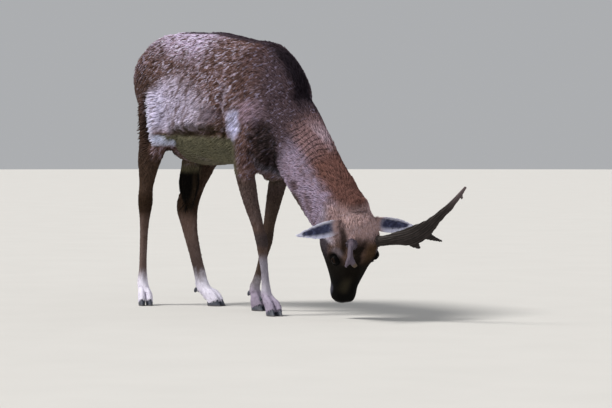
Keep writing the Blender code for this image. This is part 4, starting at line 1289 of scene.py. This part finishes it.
def all_over(value):
    """A function of points that gives each the same value."""
    return lambda points: np.full(len(points), value)


def flat_way(direction, spread=0.0):
    """A current in one direction, laid flat on the skin, with some spread away from it."""
    def way(points, normals):
        ways = np.tile(np.asarray(direction, float), (len(points), 1)) + spread * normals
        return unit(ways - (1 - spread) * (ways * normals).sum(1)[:, None] * normals)
    return way


for side, sign in (("left", 1), ("right", -1)):
    base, tip = (np.array(v) for v in EARS[sign][:2])
    coat.append(grow(f"coat_ear_{side}", "ear", *shell_arrays(ears[sign]), 3400 // THIN,
                     all_over(0.0085), all_over(0.0013), all_over(0.13), 200 + sign, 2,
                     flat_way(HEAD_AXES @ (tip - base)), ear_hollow(sign)))
coat.append(grow("coat_toes", "limb", *shell_arrays(*toes), 5200 // THIN, all_over(0.0105),
                 all_over(0.0016), all_over(0.10), 220, 2, flat_way((0.15, 0.0, -1.0), 0.02)))
coat.append(grow("coat_tail", "trunk", *shell_arrays(tail_core), 1500 // THIN,
                 lambda p: 0.026 + 0.008 * rise(-p[:, 2], -0.85, -0.75),
                 all_over(0.0034), all_over(0.06), 210, 3, flat_way((0.06, 0, -1), 0.0)))
coat.append(grow("coat_brush", "trunk", *shell_arrays(brush_core), 2400 // THIN,
                 lambda p: 0.030 + 0.032 * rise(-p[:, 2], -0.52, -0.44),
                 all_over(0.0034), all_over(0.14), 211, 3, flat_way((-0.10, 0, -1), 0.10),
                 solids=["prepuce_brush"]))
for side, thing in eyes.items():
    hand_over(thing, "eye", f"eye_{side}")
for side, parts in (("left", ("beam", "brow_tine", "second_tine")), ("right", ("beam", "outer_tine"))):
    hand_over(antlers[side], "antler_bone", *(f"antler_{side}_{part}" for part in parts))

# %% [markdown]
# ## Finishes
#
# Markings are places on the body, so each is written as a sum in metres: so far behind the
# shoulder, so high above the belly. A small class wraps a node's output, and plain Python
# operators on it add the Math nodes, which keeps the sums readable.


# %% Shader sums
class Value:
    """One output of a node. Sums with numbers or other outputs add Math nodes."""

    def __init__(self, maker, socket):
        self.maker, self.socket = maker, socket

    def sum(self, kind, *others):
        return self.maker.node("ShaderNodeMath", {"operation": kind}, dict(enumerate([self, *others])))

    def __add__(self, other):
        return self.sum("ADD", other)

    def __mul__(self, other):
        return self.sum("MULTIPLY", other)

    def __sub__(self, other):
        return self.sum("SUBTRACT", other)

    def __rsub__(self, other):
        return self.maker.node("ShaderNodeMath", {"operation": "SUBTRACT"}, {0: other, 1: self})

    __radd__, __rmul__ = __add__, __mul__

    def __neg__(self):
        return self * -1.0

    def __abs__(self):
        return self.sum("ABSOLUTE")

    def __pow__(self, power):
        return self.sum("POWER", power)

    def sine(self):
        return self.sum("SINE")

    def rise(self, low, high):
        """0 below low, 1 above high, smooth between; falls where low is above high."""
        return self.maker.node("ShaderNodeMapRange", {"interpolation_type": "SMOOTHSTEP"},
                               {0: self, 1: low, 2: high, 3: 0.0, 4: 1.0})

    def between(self, low, full, still, high):
        """0 outside low and high, 1 from full to still."""
        return self.rise(low, full) * self.rise(high, still)


class Maker:
    """Builds the node tree of one material."""

    def __init__(self, name):
        self.finish = bpy.data.materials.new(name)
        self.finish.use_nodes = True
        self.tree = self.finish.node_tree
        self.tree.nodes.clear()

    def node(self, kind, settings=None, inputs=None, out=0):
        made = self.tree.nodes.new(kind)
        for key, value in (settings or {}).items():
            setattr(made, key, value)
        for key, value in (inputs or {}).items():
            if isinstance(value, Value):
                self.tree.links.new(value.socket, made.inputs[key])
            else:
                made.inputs[key].default_value = value
        return Value(self, made.outputs[out])

    def vector(self, kind, a, b, out=0):
        return self.node("ShaderNodeVectorMath", {"operation": kind}, {0: a, 1: b}, out)

    def join(self, *parts):
        return self.node("ShaderNodeCombineXYZ", None, dict(enumerate(parts)))

    def shaded(self, hue, share):
        return self.vector("MULTIPLY", hue, self.join(share, share, share))

    def plane(self, place, at, way):
        """Distance past a plane through at that faces way."""
        way = unit(way)
        return self.vector("DOT_PRODUCT", place, tuple(way), 1) - float(np.dot(at, way))

    def skull(self, place):
        """The place in the head's own frame: along, out of the face, to the left."""
        return [self.plane(place, HEAD_AT, HEAD_AXES[:, i]) for i in range(3)]

    def parts(self, vector):
        split = self.node("ShaderNodeSeparateXYZ", inputs={0: vector}).socket.node
        return [Value(self, split.outputs[i]) for i in range(3)]

    def noise(self, place, scale, detail=2.0, rough=0.55):
        """Noise from 0 to 1; a scale of three numbers stretches it."""
        if not isinstance(scale, (int, float)):
            place, scale = self.vector("MULTIPLY", place, scale), 1.0
        return self.node("ShaderNodeTexNoise", None,
                         {"Vector": place, "Scale": scale, "Detail": detail, "Roughness": rough})

    def mix(self, share, a, b, blend="MIX"):
        """Two colours mixed; a tuple of three is a tint."""
        a, b = (tint(*hue) if isinstance(hue, tuple) else hue for hue in (a, b))
        return self.node("ShaderNodeMix", {"data_type": "RGBA", "blend_type": blend},
                         {0: share, 6: a, 7: b}, 2)

    def paint(self, ground, layers):
        """Layers of (share, colour), one over the other."""
        for share, colour in layers:
            ground = self.mix(share, ground, colour)
        return ground

    def trait(self, name, out=2):
        return self.node("ShaderNodeAttribute", {"attribute_name": name}, None, out)

    def bump(self, height, distance, strength=1.0):
        return self.node("ShaderNodeBump", None,
                         {"Height": height, "Distance": distance, "Strength": strength})

    def finish_with(self, **inputs):
        shader = self.node("ShaderNodeBsdfPrincipled", None,
                           {key.replace("_", " "): value for key, value in inputs.items()})
        surface = self.tree.nodes.new("ShaderNodeOutputMaterial")
        self.tree.links.new(shader.socket, surface.inputs[0])
        return self.finish


def tint(red, green, blue):
    """A colour given in 0 to 255 as seen, made linear for the renderer."""
    return (*(((c / 255 + 0.055) / 1.055) ** 2.4 if c > 10 else c / 3295 for c in (red, green, blue)), 1.0)


print("brown-grey is", np.round(tint(112, 90, 82), 3))

# %% [markdown]
# ## Markings of the coat
#
# A fallow buck in its winter coat is grey-brown, paler on the flank and white below, with a
# black line down the back and tail, faint pale flecks on the back that are painted highlights,
# a rufous nape, a dark face and black muzzle, and pale fetlocks. Further layers are painted
# light and shade, each marked where it is laid on. Skin and locks call the same function, so a
# lock always has the colour of the skin under it.


# %% Places and markings
def deer_colour(m, place):
    """One layer over another, each a share times a colour; a share is a product of soft
    steps along the body, up it, or away from a line."""
    x, y, z = m.parts(place)
    side = abs(y)
    a, f, left = m.skull(place)
    out = abs(left)
    high = z + x * TRUNK_FALL - TRUNK_HIGH            # over the middle of the trunk
    slow = m.noise(place, 7.0, 3.0)
    patch = m.noise(place, 24.0, 3.0)
    lay = m.join((x * 0.87 + z * 0.50) * 30.0, y * 55.0, (z * 0.87 - x * 0.50) * 95.0)
    streak = m.noise(lay, 1.0, 3.0, 0.6)
    speck = m.noise(m.vector("ADD", lay, (7.0, 3.0, 5.0)), 1.5, 2.0, 0.5)
    band = m.noise(m.join((x * 0.64 + z * 0.77) * 9.0, y * 9.0, (z * 0.64 - x * 0.77) * 30.0), 1.0, 2.0)
    wobble = (patch - 0.5) * 0.05
    neck = m.plane(place, *NECK_PLANE).rise(-0.07, 0.05)
    head = m.plane(place, *HEAD_PLANE).rise(-0.020, 0.035)
    along = m.plane(place, *ALONG_PLANE)
    nape = m.plane(place, *NAPE_PLANE) + wobble * 0.5
    head = head * (1 - a.rise(0.145, 0.185) * out.rise(0.090, 0.076))

    xw, hw, zw = x + wobble, high + wobble, z + wobble * 0.6

    def oval(at_x, at_z, half_x, half_z, core=0.15):
        """1 in the middle of an oval on the side of the body, 0 outside it."""
        u, v = (xw - at_x) * (1 / half_x), (zw - at_z) * (1 / half_z)
        return (u * u + v * v).rise(1.0, core)

    flank = xw.between(-0.64, -0.60, -0.45, -0.13) * hw.rise(0.10, -0.05) * zw.rise(0.60, 0.64) \
        * oval(-0.43, 0.68, 0.235, 0.185, 0.45)
    # High over the back and the croup: where the painted highlights of light from above are laid.
    croup = hw.rise(0.07, 0.17) * xw.rise(-0.25, -0.42)
    shoulder = xw.rise(-0.15, -0.06)
    behind_elbow = oval(-0.114, 0.634, 0.050, 0.066, 0.0) * (0.55 + 0.45 * streak.rise(0.36, 0.54))
    # Painted highlight: a pale line on the lit edge of the flank behind the elbow.
    lit_edge_behind_elbow = (x + 0.160 + wobble * 0.5).between(-0.018, -0.005, 0.005, 0.018) \
        * z.between(0.66, 0.70, 0.75, 0.79)
    across, up = (x - 0.008 + (patch - 0.5) * 0.10) * 18.0, (z - 0.560 + (slow - 0.5) * 0.10) * 9.5
    triceps = (across * across + up * up).rise(1.3, 0.15) * (0.70 + 0.30 * streak.rise(0.62, 0.44))
    # The fold above the belly, where painted shade runs between the lit flank and the belly.
    fold = xw.between(-0.53, -0.49, -0.18, -0.14) * zw.between(0.585, 0.602, 0.625, 0.652)
    # The belly below the fold, whose white is painted as in shade.
    belly_in_shade = (zw + x * 0.03).rise(0.600, 0.578) * x.between(-0.560, -0.535, -0.13, -0.075)
    thigh = xw.rise(-0.590, -0.625) * z.rise(0.86, 0.76)
    # Painted shade: a dark band in the crease before the thigh.
    shade_before_thigh = (x + 0.646 + (z - 0.765) * 0.205).between(-0.034, -0.012, 0.000, 0.010) \
        * z.between(0.555, 0.60, 0.74, 0.80)
    trunk = m.paint((110, 85, 80), [
        (streak.rise(0.47, 0.37) * 0.75, (70, 52, 48)),
        (streak.rise(0.51, 0.62) * 0.80, (172, 154, 168)),
        # Painted highlights: pale streaks and flecks over the croup and the top of the back, where light
        # from above catches the hair.
        (croup * streak.rise(0.36, 0.56) * 0.85, (208, 192, 222)),
        (croup * speck.rise(0.52, 0.63) * 0.90, (232, 226, 246)),
        (speck.rise(0.56, 0.66) * high.rise(-0.12, 0.0) * 0.8, (202, 194, 216)),
        (flank * (0.40 + 0.60 * streak.rise(0.34, 0.54)) * 0.95, (206, 198, 222)),
        # Painted shade: dark diagonal bands that stand for the shading of the ribs, over the upper trunk
        # and the flank.
        (high.rise(-0.10, -0.02) * (1 - croup) * band.rise(0.50, 0.62) * 0.55, (88, 66, 60)),
        (flank * band.rise(0.52, 0.66) * 0.60, (122, 102, 102)),
        (oval(-0.235, 0.672, 0.070, 0.040, 0.0) * 0.65, (104, 92, 104)),
        # Painted highlight: the lit edge of the full flank ahead of the thigh.
        (oval(-0.575, 0.690, 0.050, 0.085, 0.1) * streak.rise(0.34, 0.52) * 0.80, (226, 220, 246)),
        (shoulder * (0.55 + 0.45 * streak.rise(0.62, 0.42)), (102, 78, 74)),
        (shoulder * streak.rise(0.44, 0.36) * 0.6, (58, 41, 38)),
        (shoulder * z.rise(0.80, 0.88) * 0.8, (88, 66, 66)),
        (shoulder * speck.rise(0.57, 0.68) * 0.7, (150, 142, 168)),
        (oval(-0.030, 0.680, 0.075, 0.060) * (0.4 + 0.6 * streak.rise(0.40, 0.56)) * 0.85,
         (176, 152, 170)),
        # Painted highlight on the flank's edge behind the elbow.
        (lit_edge_behind_elbow * 0.65, (168, 156, 172)),
        (thigh * 0.85, (86, 66, 58)),
        (thigh * z.rise(0.74, 0.64) * 0.80, (58, 43, 33)),
        # Painted shade in the crease before the thigh.
        (shade_before_thigh * 0.8, (52, 40, 36)),
        (thigh * speck.rise(0.58, 0.70) * z.rise(0.66, 0.72) * 0.6, (168, 156, 172)),
        # Painted highlight: a bright line on the swelling of the full flank, just ahead of the crease
        # before the thigh.
        ((x + z * 0.205).between(-0.486, -0.476, -0.458, -0.430) * z.between(0.560, 0.572, 0.70, 0.78)
         * 0.85, (214, 214, 236)),
        # Painted shade: a dark, uneven line along the fold above the belly.
        (fold * (0.45 + 0.55 * patch.rise(0.38, 0.58)) * 0.95, (56, 44, 29)),
        # Painted shade: the white belly darkened to a shaded khaki, with paler patches.
        (belly_in_shade, (104, 101, 82)),
        (belly_in_shade * patch.rise(0.50, 0.72) * 0.5, (124, 118, 92)),
        # Painted highlight: the lit fold of the flank, low between the belly and the stifle.
        (oval(-0.556, 0.584, 0.036, 0.022, 0.0) * 0.90, (218, 224, 250)),
        (behind_elbow * 0.92, (216, 216, 250)),
        ((x + wobble * 0.3).rise(-0.775, -0.800) * z.rise(0.62, 0.68) * side.rise(0.10, 0.06),
         (205, 198, 190)),
    ])
    stripe = side + wobble * 0.15
    ridge = stripe.rise(0.020, 0.010) * high.rise(0.13, 0.17) * (1 - neck)
    saddle = stripe.rise(0.044, 0.030) * high.rise(0.15, 0.19) * x.rise(-0.62, -0.55) * (1 - neck)
    mane = neck * (side + wobble * 0.3).rise(0.052, 0.020) * nape.rise(0.075, 0.100) * x.rise(0.175, 0.110)
    ripple = m.noise(m.join((x * 0.55 - z * 0.83) * 190.0, y * 40.0, (x * 0.83 + z * 0.55) * 42.0),
                     1.0, 3.0, 0.6)
    collar = m.paint((148, 130, 148), [
        (ripple.rise(0.42, 0.60) * 0.5, (172, 162, 188)),
        (patch.rise(0.42, 0.66) * along.rise(0.10, 0.20) * 0.6, (102, 80, 78)),
        (along.rise(0.16, 0.05) * 0.90, (58, 43, 43)),
        (along.rise(0.16, 0.05) * speck.rise(0.56, 0.68) * 0.6, (142, 132, 156)),
        (nape.rise(0.050, 0.088) * along.rise(0.02, 0.12) * 0.80, (138, 107, 104)),
        (nape.rise(0.050, 0.084) * along.rise(0.15, 0.25) * 0.90, (108, 74, 65)),
        (ripple.rise(0.54, 0.66) * nape.rise(0.02, 0.07) * 0.55, (64, 44, 40)),
        (oval(0.150, 0.440, 0.030, 0.022) * 0.6, (70, 52, 56)),
        (nape.rise(-0.092, -0.112) * 0.85, (190, 196, 220)),
        (nape.rise(0.124, 0.134) * along.rise(0.06, 0.14) * 0.6, (176, 158, 170)),
    ])
    # Painted shade in the creases of the neck's skin folds, along the same waves that sink the folds.
    wave = ((x * 0.55 - z * 0.83) * 330.0 + 1.6 * (x * 37.0 + y * 31.0).sine()).sine()
    wrinkle_shade = wave.rise(0.60, 0.98) * nape.between(0.045, 0.070, 0.122, 0.136) \
        * along.between(0.03, 0.08, 0.20, 0.25) * streak.rise(0.32, 0.48)
    collar = m.mix(wrinkle_shade * 0.75, collar, (36, 26, 28))

    foot = m.noise(place, (60.0, 60.0, 22.0), 3.0)
    hind = x.rise(-0.40, -0.48)
    fore = 1 - hind
    paled = z + (foot - 0.5) * 0.07
    leg = m.paint((88, 71, 64), [
        (foot.rise(0.5, 0.7) * 0.45, (116, 102, 100)),
        (hind * z.rise(0.30, 0.36) * 0.75, (66, 50, 38)),
        (hind * z.between(0.30, 0.34, 0.37, 0.41) * 0.75, (40, 26, 14)),
        (fore * z.between(0.26, 0.34, 0.42, 0.46) * 0.35, (84, 74, 76)),
        (fore * z.rise(0.44, 0.50) * 0.8, (112, 98, 108)),
        (fore * z.between(0.215, 0.240, 0.262, 0.290) * 0.75, (60, 54, 56)),
        # Painted light and shade: the near right fore leg is paler low on the cannon, the far left fore
        # leg darker on the forearm.
        (fore * (1 - y.rise(-0.02, 0.02)) * z.rise(0.215, 0.17) * 0.80, (156, 152, 166)),
        (fore * y.rise(-0.02, 0.02) * z.rise(0.46, 0.36) * 0.55, (58, 46, 34)),
        (hind * z.rise(0.30, 0.16) * 0.55, (112, 96, 92)),
        (paled.rise(0.140, 0.070) * (1 - 0.60 * fore) * 0.95, (244, 240, 255)),
        (paled.rise(0.100, 0.050) * fore * 0.7, (156, 142, 166)),
    ])
    limb = z.rise(0.56, 0.47) * high.rise(-0.205, -0.235)
    inside = hind * side.rise(0.082, 0.066) * z.rise(0.40, 0.47)
    inside = inside + fore * side.rise(0.066, 0.050) * z.rise(0.42, 0.48)
    leg = m.mix(inside * 0.85, leg, (90, 84, 68))

    dim = (patch - 0.5) * 0.030
    top = a + dim
    face = m.paint((172, 145, 143), [
        (speck.rise(0.5, 0.7) * 0.35, (200, 180, 190)),
        (top.rise(0.104, 0.050), (112, 90, 82)),
        (f.rise(-0.015, -0.055) * a.rise(0.11, 0.05) * 0.90, (70, 65, 74)),
        (left.rise(-0.01, 0.03) * top.rise(0.090, 0.045) * f.rise(-0.03, 0.01) * 0.9, (72, 54, 36)),
        (top.rise(0.030, -0.030), (20, 16, 12)),
        (top.rise(-0.05, -0.105) * 0.98, (6, 5, 5)),
    ])
    # Painted shadow: near-black on the forehead between the broken right antler and the middle of the
    # head.
    shadow_beside_stub = (left + 0.004 + dim).between(-0.046, -0.018, 0.002, 0.026) * top.rise(0.096, 0.056) \
        * f.rise(-0.020, 0.002)
    streak_by_stub = (left + 0.061 + dim * 0.4).between(-0.012, -0.003, 0.003, 0.012) \
        * a.between(0.010, 0.040, 0.100, 0.125)
    # Painted highlight: a paler bar on the bridge of the nose.
    bridge = abs(left + 0.020).rise(0.026, 0.0) * a.between(-0.155, -0.120, -0.105, -0.060)
    lip_side = m.plane(place, tuple(in_head((-0.155, -0.052, 0))), HEAD_AXES[:, 1]).rise(0.006, -0.008) \
        * a.between(-0.190, -0.172, -0.140, -0.115)
    face = m.paint(face, [
        # Painted shadow beside the antler stub.
        (shadow_beside_stub * 0.95, (14, 9, 5)),
        (streak_by_stub * f.rise(-0.04, -0.02) * 0.85, (38, 27, 19)),
        # Painted highlight on the bridge of the nose.
        (bridge * 0.45, (66, 60, 46)),
        (lip_side * 0.55, (96, 96, 110)),
        (a.rise(-0.143, -0.163) * f.rise(-0.066, -0.052), (8, 7, 6)),
    ])
    ring = m.join(a, f, out)
    from_eye = m.vector("DISTANCE", ring, tuple(EYE_AT), 1)
    over_eye = m.vector("DISTANCE", ring, tuple(EYE_AT + [0.030, 0.006, 0.0]), 1)
    face = m.paint(face, [
        (over_eye.rise(0.028, 0.012) * 0.6, (128, 120, 130)),
        (from_eye.rise(0.036, 0.020) * 0.90, (22, 18, 16)),
        (from_eye.rise(0.0225, 0.0180), (6, 5, 5)),
    ])
    hollow = m.trait("hollow")
    ear_noise = m.noise(place, 90.0, 2.0)
    ear_back = m.mix(ear_noise.rise(0.40, 0.66) * 0.6, (218, 218, 242), (242, 244, 255))
    ear_back = m.mix(out.rise(0.110, 0.080) * 0.7, ear_back, (168, 142, 144))
    ear_in = m.mix(ear_noise.rise(0.45, 0.7) * 0.5, (58, 60, 84), (98, 104, 138))
    face = m.mix(out.rise(0.076, 0.092) * a.rise(0.040, 0.060), face, m.mix(hollow, ear_back, ear_in))

    body = m.mix(triceps * 0.92, m.mix(neck, trunk, collar), (22, 16, 14))
    body = m.mix(limb * x.rise(0.20, 0.14), body, leg)
    body = m.mix(head, body, face)
    body = m.mix(ridge * 0.90, body, (38, 30, 34))
    body = m.mix(saddle * 0.88, body, (44, 34, 42))
    body = m.mix(mane * 0.96, body, (22, 16, 23))
    tail = x.rise(-0.775, -0.785) * side.rise(0.030, 0.022) * z.rise(0.60, 0.64)
    body = m.mix(tail * z.rise(0.87, 0.84), body, m.mix(x.rise(-0.792, -0.798), (206, 200, 192),
                                                         (22, 18, 19)))
    tassel = m.vector("DISTANCE", place, (-0.602, 0.0, 0.425), 1).rise(0.120, 0.100) \
        * side.rise(0.060, 0.050) * z.rise(0.505, 0.480)
    hairs = m.mix(streak.rise(0.60, 0.72) * 0.5 + side.rise(0.014, 0.004) * 0.4, (14, 11, 9),
                  (72, 58, 44))
    body = m.mix(tassel, body, m.mix(z.rise(0.462, 0.488), hairs, (96, 90, 70)))
    return m.mix(slow.rise(0.30, 0.75) * 0.18, body, m.mix(1.0, body, (206, 198, 206), "MULTIPLY"))


def deer_place(m):
    spot = m.node("ShaderNodeTexCoord", out=3)
    return m.vector("SUBTRACT", spot, tuple(MOVE))


# %% Coat finish
def coat_finish():
    m = Maker("deer_coat")
    place = deer_place(m)
    reach, tone = m.trait("reach"), m.trait("tone")
    hue = deer_colour(m, place)
    # Darker at the root of each lock: painted shade between the locks; paler tips and a random tone for
    # each lock come with it.
    shade = (0.74 + 0.46 * tone) * (0.66 + 0.60 * reach)
    hue = m.shaded(hue, shade)
    fine = m.noise(place, 900.0, 1.0)
    return m.finish_with(Base_Color=hue, Roughness=0.62 + 0.2 * fine, Specular_IOR_Level=0.06,
                         Normal=m.bump(fine, 0.0004, 0.5))


# %% Skin finish
def skin_finish():
    m = Maker("deer_skin")
    place = deer_place(m)
    q, z = m.skull(place), m.parts(place)[2]
    head = m.plane(place, *HEAD_PLANE).rise(-0.020, 0.035)
    hue = deer_colour(m, place)
    body_hair = m.noise(place, (160.0, 620.0, 420.0), 2.0)
    leg_hair = m.noise(place, (640.0, 640.0, 150.0), 2.0)
    face_hair = m.noise(m.join(*q), (230.0, 950.0, 950.0), 2.0)
    low = z.rise(0.52, 0.44)
    hair = body_hair * (1 - low) * (1 - head) + leg_hair * low * (1 - head) + face_hair * head
    nose = head * (q[0] - 0.15 * q[1]).rise(-0.168, -0.176) * q[1].rise(-0.079, -0.073)
    pebble = m.node("ShaderNodeTexVoronoi", {"feature": "F1"}, {"Vector": place, "Scale": 620.0})
    shade = 0.70 + 0.42 * hair
    hue = m.shaded(hue, shade)
    hue = m.mix(nose, hue, (17, 15, 16))
    height = hair * (1 - nose) + pebble * nose
    return m.finish_with(Base_Color=hue, Roughness=0.80 - 0.30 * nose, Specular_IOR_Level=0.06,
                         Coat_Weight=nose * 0.25, Coat_Roughness=0.35,
                         Normal=m.bump(height, 0.0009, 0.8))


# %% Eye, antler and horn
def eye_finish():
    """Iris and pupil are ellipses in the plane of the lids."""
    m = Maker("deer_eye")
    x, y = m.parts(m.trait("across", 1))[:2]
    from_middle = (x * x + y * y) ** 0.5
    pupil = ((x * 2.1) ** 2.0 + (y * 4.6) ** 2.0).rise(1.25, 0.8)
    fibre = m.noise(m.trait("across", 1), (9.0, 9.0, 9.0), 3.0)
    iris = m.mix(fibre.rise(0.3, 0.7), (24, 16, 12), (38, 26, 19))
    hue = m.paint(iris, [(from_middle.rise(0.50, 0.78), (18, 13, 11)),
                         (pupil, (6, 6, 8)),
                         (from_middle.rise(0.80, 0.90), (24, 19, 17))])
    return m.finish_with(Base_Color=hue, Roughness=0.45, Coat_Weight=0.04, Coat_Roughness=0.08,
                         Specular_IOR_Level=0.05, IOR=1.38)


def antler_finish():
    m = Maker("antler_bone")
    place = deer_place(m)
    along, groove = m.trait("along"), m.trait("groove")
    grain = m.noise(place, 260.0, 4.0, 0.6)
    stain = m.noise(place, 34.0, 3.0)
    hue = m.paint((34, 28, 25), [
        (stain.rise(0.42, 0.68) * 0.6, (52, 45, 43)),
        (groove.rise(0.55, 0.20) * 0.80, (12, 10, 9)),
        # Painted highlight: paler along the ridges between the furrows.
        (groove.rise(0.62, 0.90) * 0.50, (76, 66, 63)),
        (along.rise(0.70, 1.0) * 0.65, (108, 94, 96)),
        (along.rise(0.10, 0.0) * 0.5, (34, 27, 24)),
        (grain.rise(0.62, 0.72) * 0.4, (20, 17, 15)),
    ])
    short = m.skull(place)[2].rise(-0.02, -0.04)
    hue = m.paint(hue, [
        (short * 0.7, (96, 85, 98)),
        (short * along.rise(0.86, 0.94) * 0.9, (86, 72, 56)),
        (short * along.rise(0.22, 0.0) * stain.rise(0.40, 0.55) * 0.7, (44, 34, 44)),
    ])
    return m.finish_with(Base_Color=hue, Roughness=0.50 + 0.25 * grain, Specular_IOR_Level=0.20,
                         Normal=m.bump(grain, 0.0006, 0.7))


def horn_finish():
    m = Maker("hoof_horn")
    place = deer_place(m)
    z = m.parts(place)[2]
    rings = (z * 1900.0 + m.noise(place, 60.0, 2.0) * 7.0).sine()
    streak = m.noise(place, (500.0, 500.0, 40.0), 2.0)
    hue = m.paint((50, 54, 66), [
        (streak.rise(0.4, 0.7) * 0.6, (84, 88, 104)),
        (z.rise(0.008, 0.0) * 0.6, (86, 80, 76)),
    ])
    return m.finish_with(Base_Color=hue, Roughness=0.38 + 0.25 * streak, Specular_IOR_Level=0.5,
                         Normal=m.bump(rings, 0.0004, 0.5))


COAT, SKIN = coat_finish(), skin_finish()
EYE, BONE, HORN = eye_finish(), antler_finish(), horn_finish()
for things, finish in (([deer_skin], SKIN), (coat, COAT), (eyes.values(), EYE),
                       (antlers.values(), BONE), (horns, HORN)):
    for thing in things:
        thing.data.materials.append(finish)
print("materials", [m.name for m in (COAT, SKIN, EYE, BONE, HORN)])

# %% [markdown]
# ## Studio
#
# A still model shows best on a plain pale floor, in the light of two far, soft lamps and a
# pale room. The camera stands low, at the height of the deer's flank, ahead of its right side.


# %% Floor, lamps and camera
FLOOR_RADIUS = 40.0


def floor_disc():
    turn = np.arange(96) * 2 * np.pi / 96
    ring = np.stack([np.cos(turn), np.sin(turn), 0 * turn], -1)
    grid = ring[None] * np.array([0.5, 2.0, 8.0, FLOOR_RADIUS])[:, None, None] + [0, 0, -0.0003]
    count = grid.shape[1]
    index = np.arange(grid.shape[0] * count).reshape(grid.shape[:2])
    here, on = index[:-1], np.roll(index[:-1], -1, 1)
    out, out_on = index[1:], np.roll(index[1:], -1, 1)
    walls = np.vstack([np.stack([here, out, out_on], -1).reshape(-1, 3),
                       np.stack([here, out_on, on], -1).reshape(-1, 3)])
    middle = np.stack([np.full(count, index.size), index[0], np.roll(index[0], -1)], -1)
    return np.vstack([grid.reshape(-1, 3), [[0, 0, -0.0003]]]), np.vstack([walls, middle])


m = Maker("studio_floor")
grit = m.noise(m.node("ShaderNodeTexCoord", out=3), 3.0, 4.0)
pale = m.mix(grit, (198, 196, 192), (206, 204, 200))
floor = add_object("studio_floor", new_mesh("studio_floor", *floor_disc()))
floor.data.materials.append(m.finish_with(Base_Color=pale, Roughness=0.9))


def lamp(name, towards, spread, strength, colour):
    """A far lamp: parallel light whose spread in degrees is as soft as a large lamp's."""
    light = bpy.data.lights.new(name, "SUN")
    light.angle, light.energy, light.color = math.radians(spread), strength, colour
    thing = add_object(name, light)
    thing.location = towards
    thing.rotation_euler = Vector(towards).to_track_quat("Z", "Y").to_euler()


lamp("key_light", (-1.2, -2.6, 3.6), 18.0, 3.3, (1.0, 0.975, 0.94))
lamp("fill_light", (4.0, -1.0, 1.6), 50.0, 0.55, (0.94, 0.96, 1.0))
world = bpy.data.worlds.new("studio")
world.use_nodes = True
world.node_tree.nodes["Background"].inputs[0].default_value = (0.90, 0.92, 0.95, 1)
world.node_tree.nodes["Background"].inputs[1].default_value = 0.46
bpy.context.scene.world = world
bpy.context.scene.view_settings.view_transform = "Standard"

CAMERA_AT = np.array([7.526, -4.986, 0.600]) + MOVE
LOOK = np.array([-0.829, 0.559, 0.0])
PITCH = 1.44
lens = bpy.data.cameras.new("camera")
lens.lens, lens.sensor_width, lens.clip_end = 158.8, 36.0, 200.0
camera = add_object("camera", lens)
camera.location = CAMERA_AT
look = Vector(unit(LOOK) * math.cos(math.radians(PITCH)) - np.array([0, 0, math.sin(math.radians(PITCH))]))
camera.rotation_euler = look.to_track_quat("-Z", "Y").to_euler()
bpy.context.scene.camera = camera

# %% Remove unused meshes
for scrap in [mesh for mesh in bpy.data.meshes if not mesh.users]:
    bpy.data.meshes.remove(scrap)
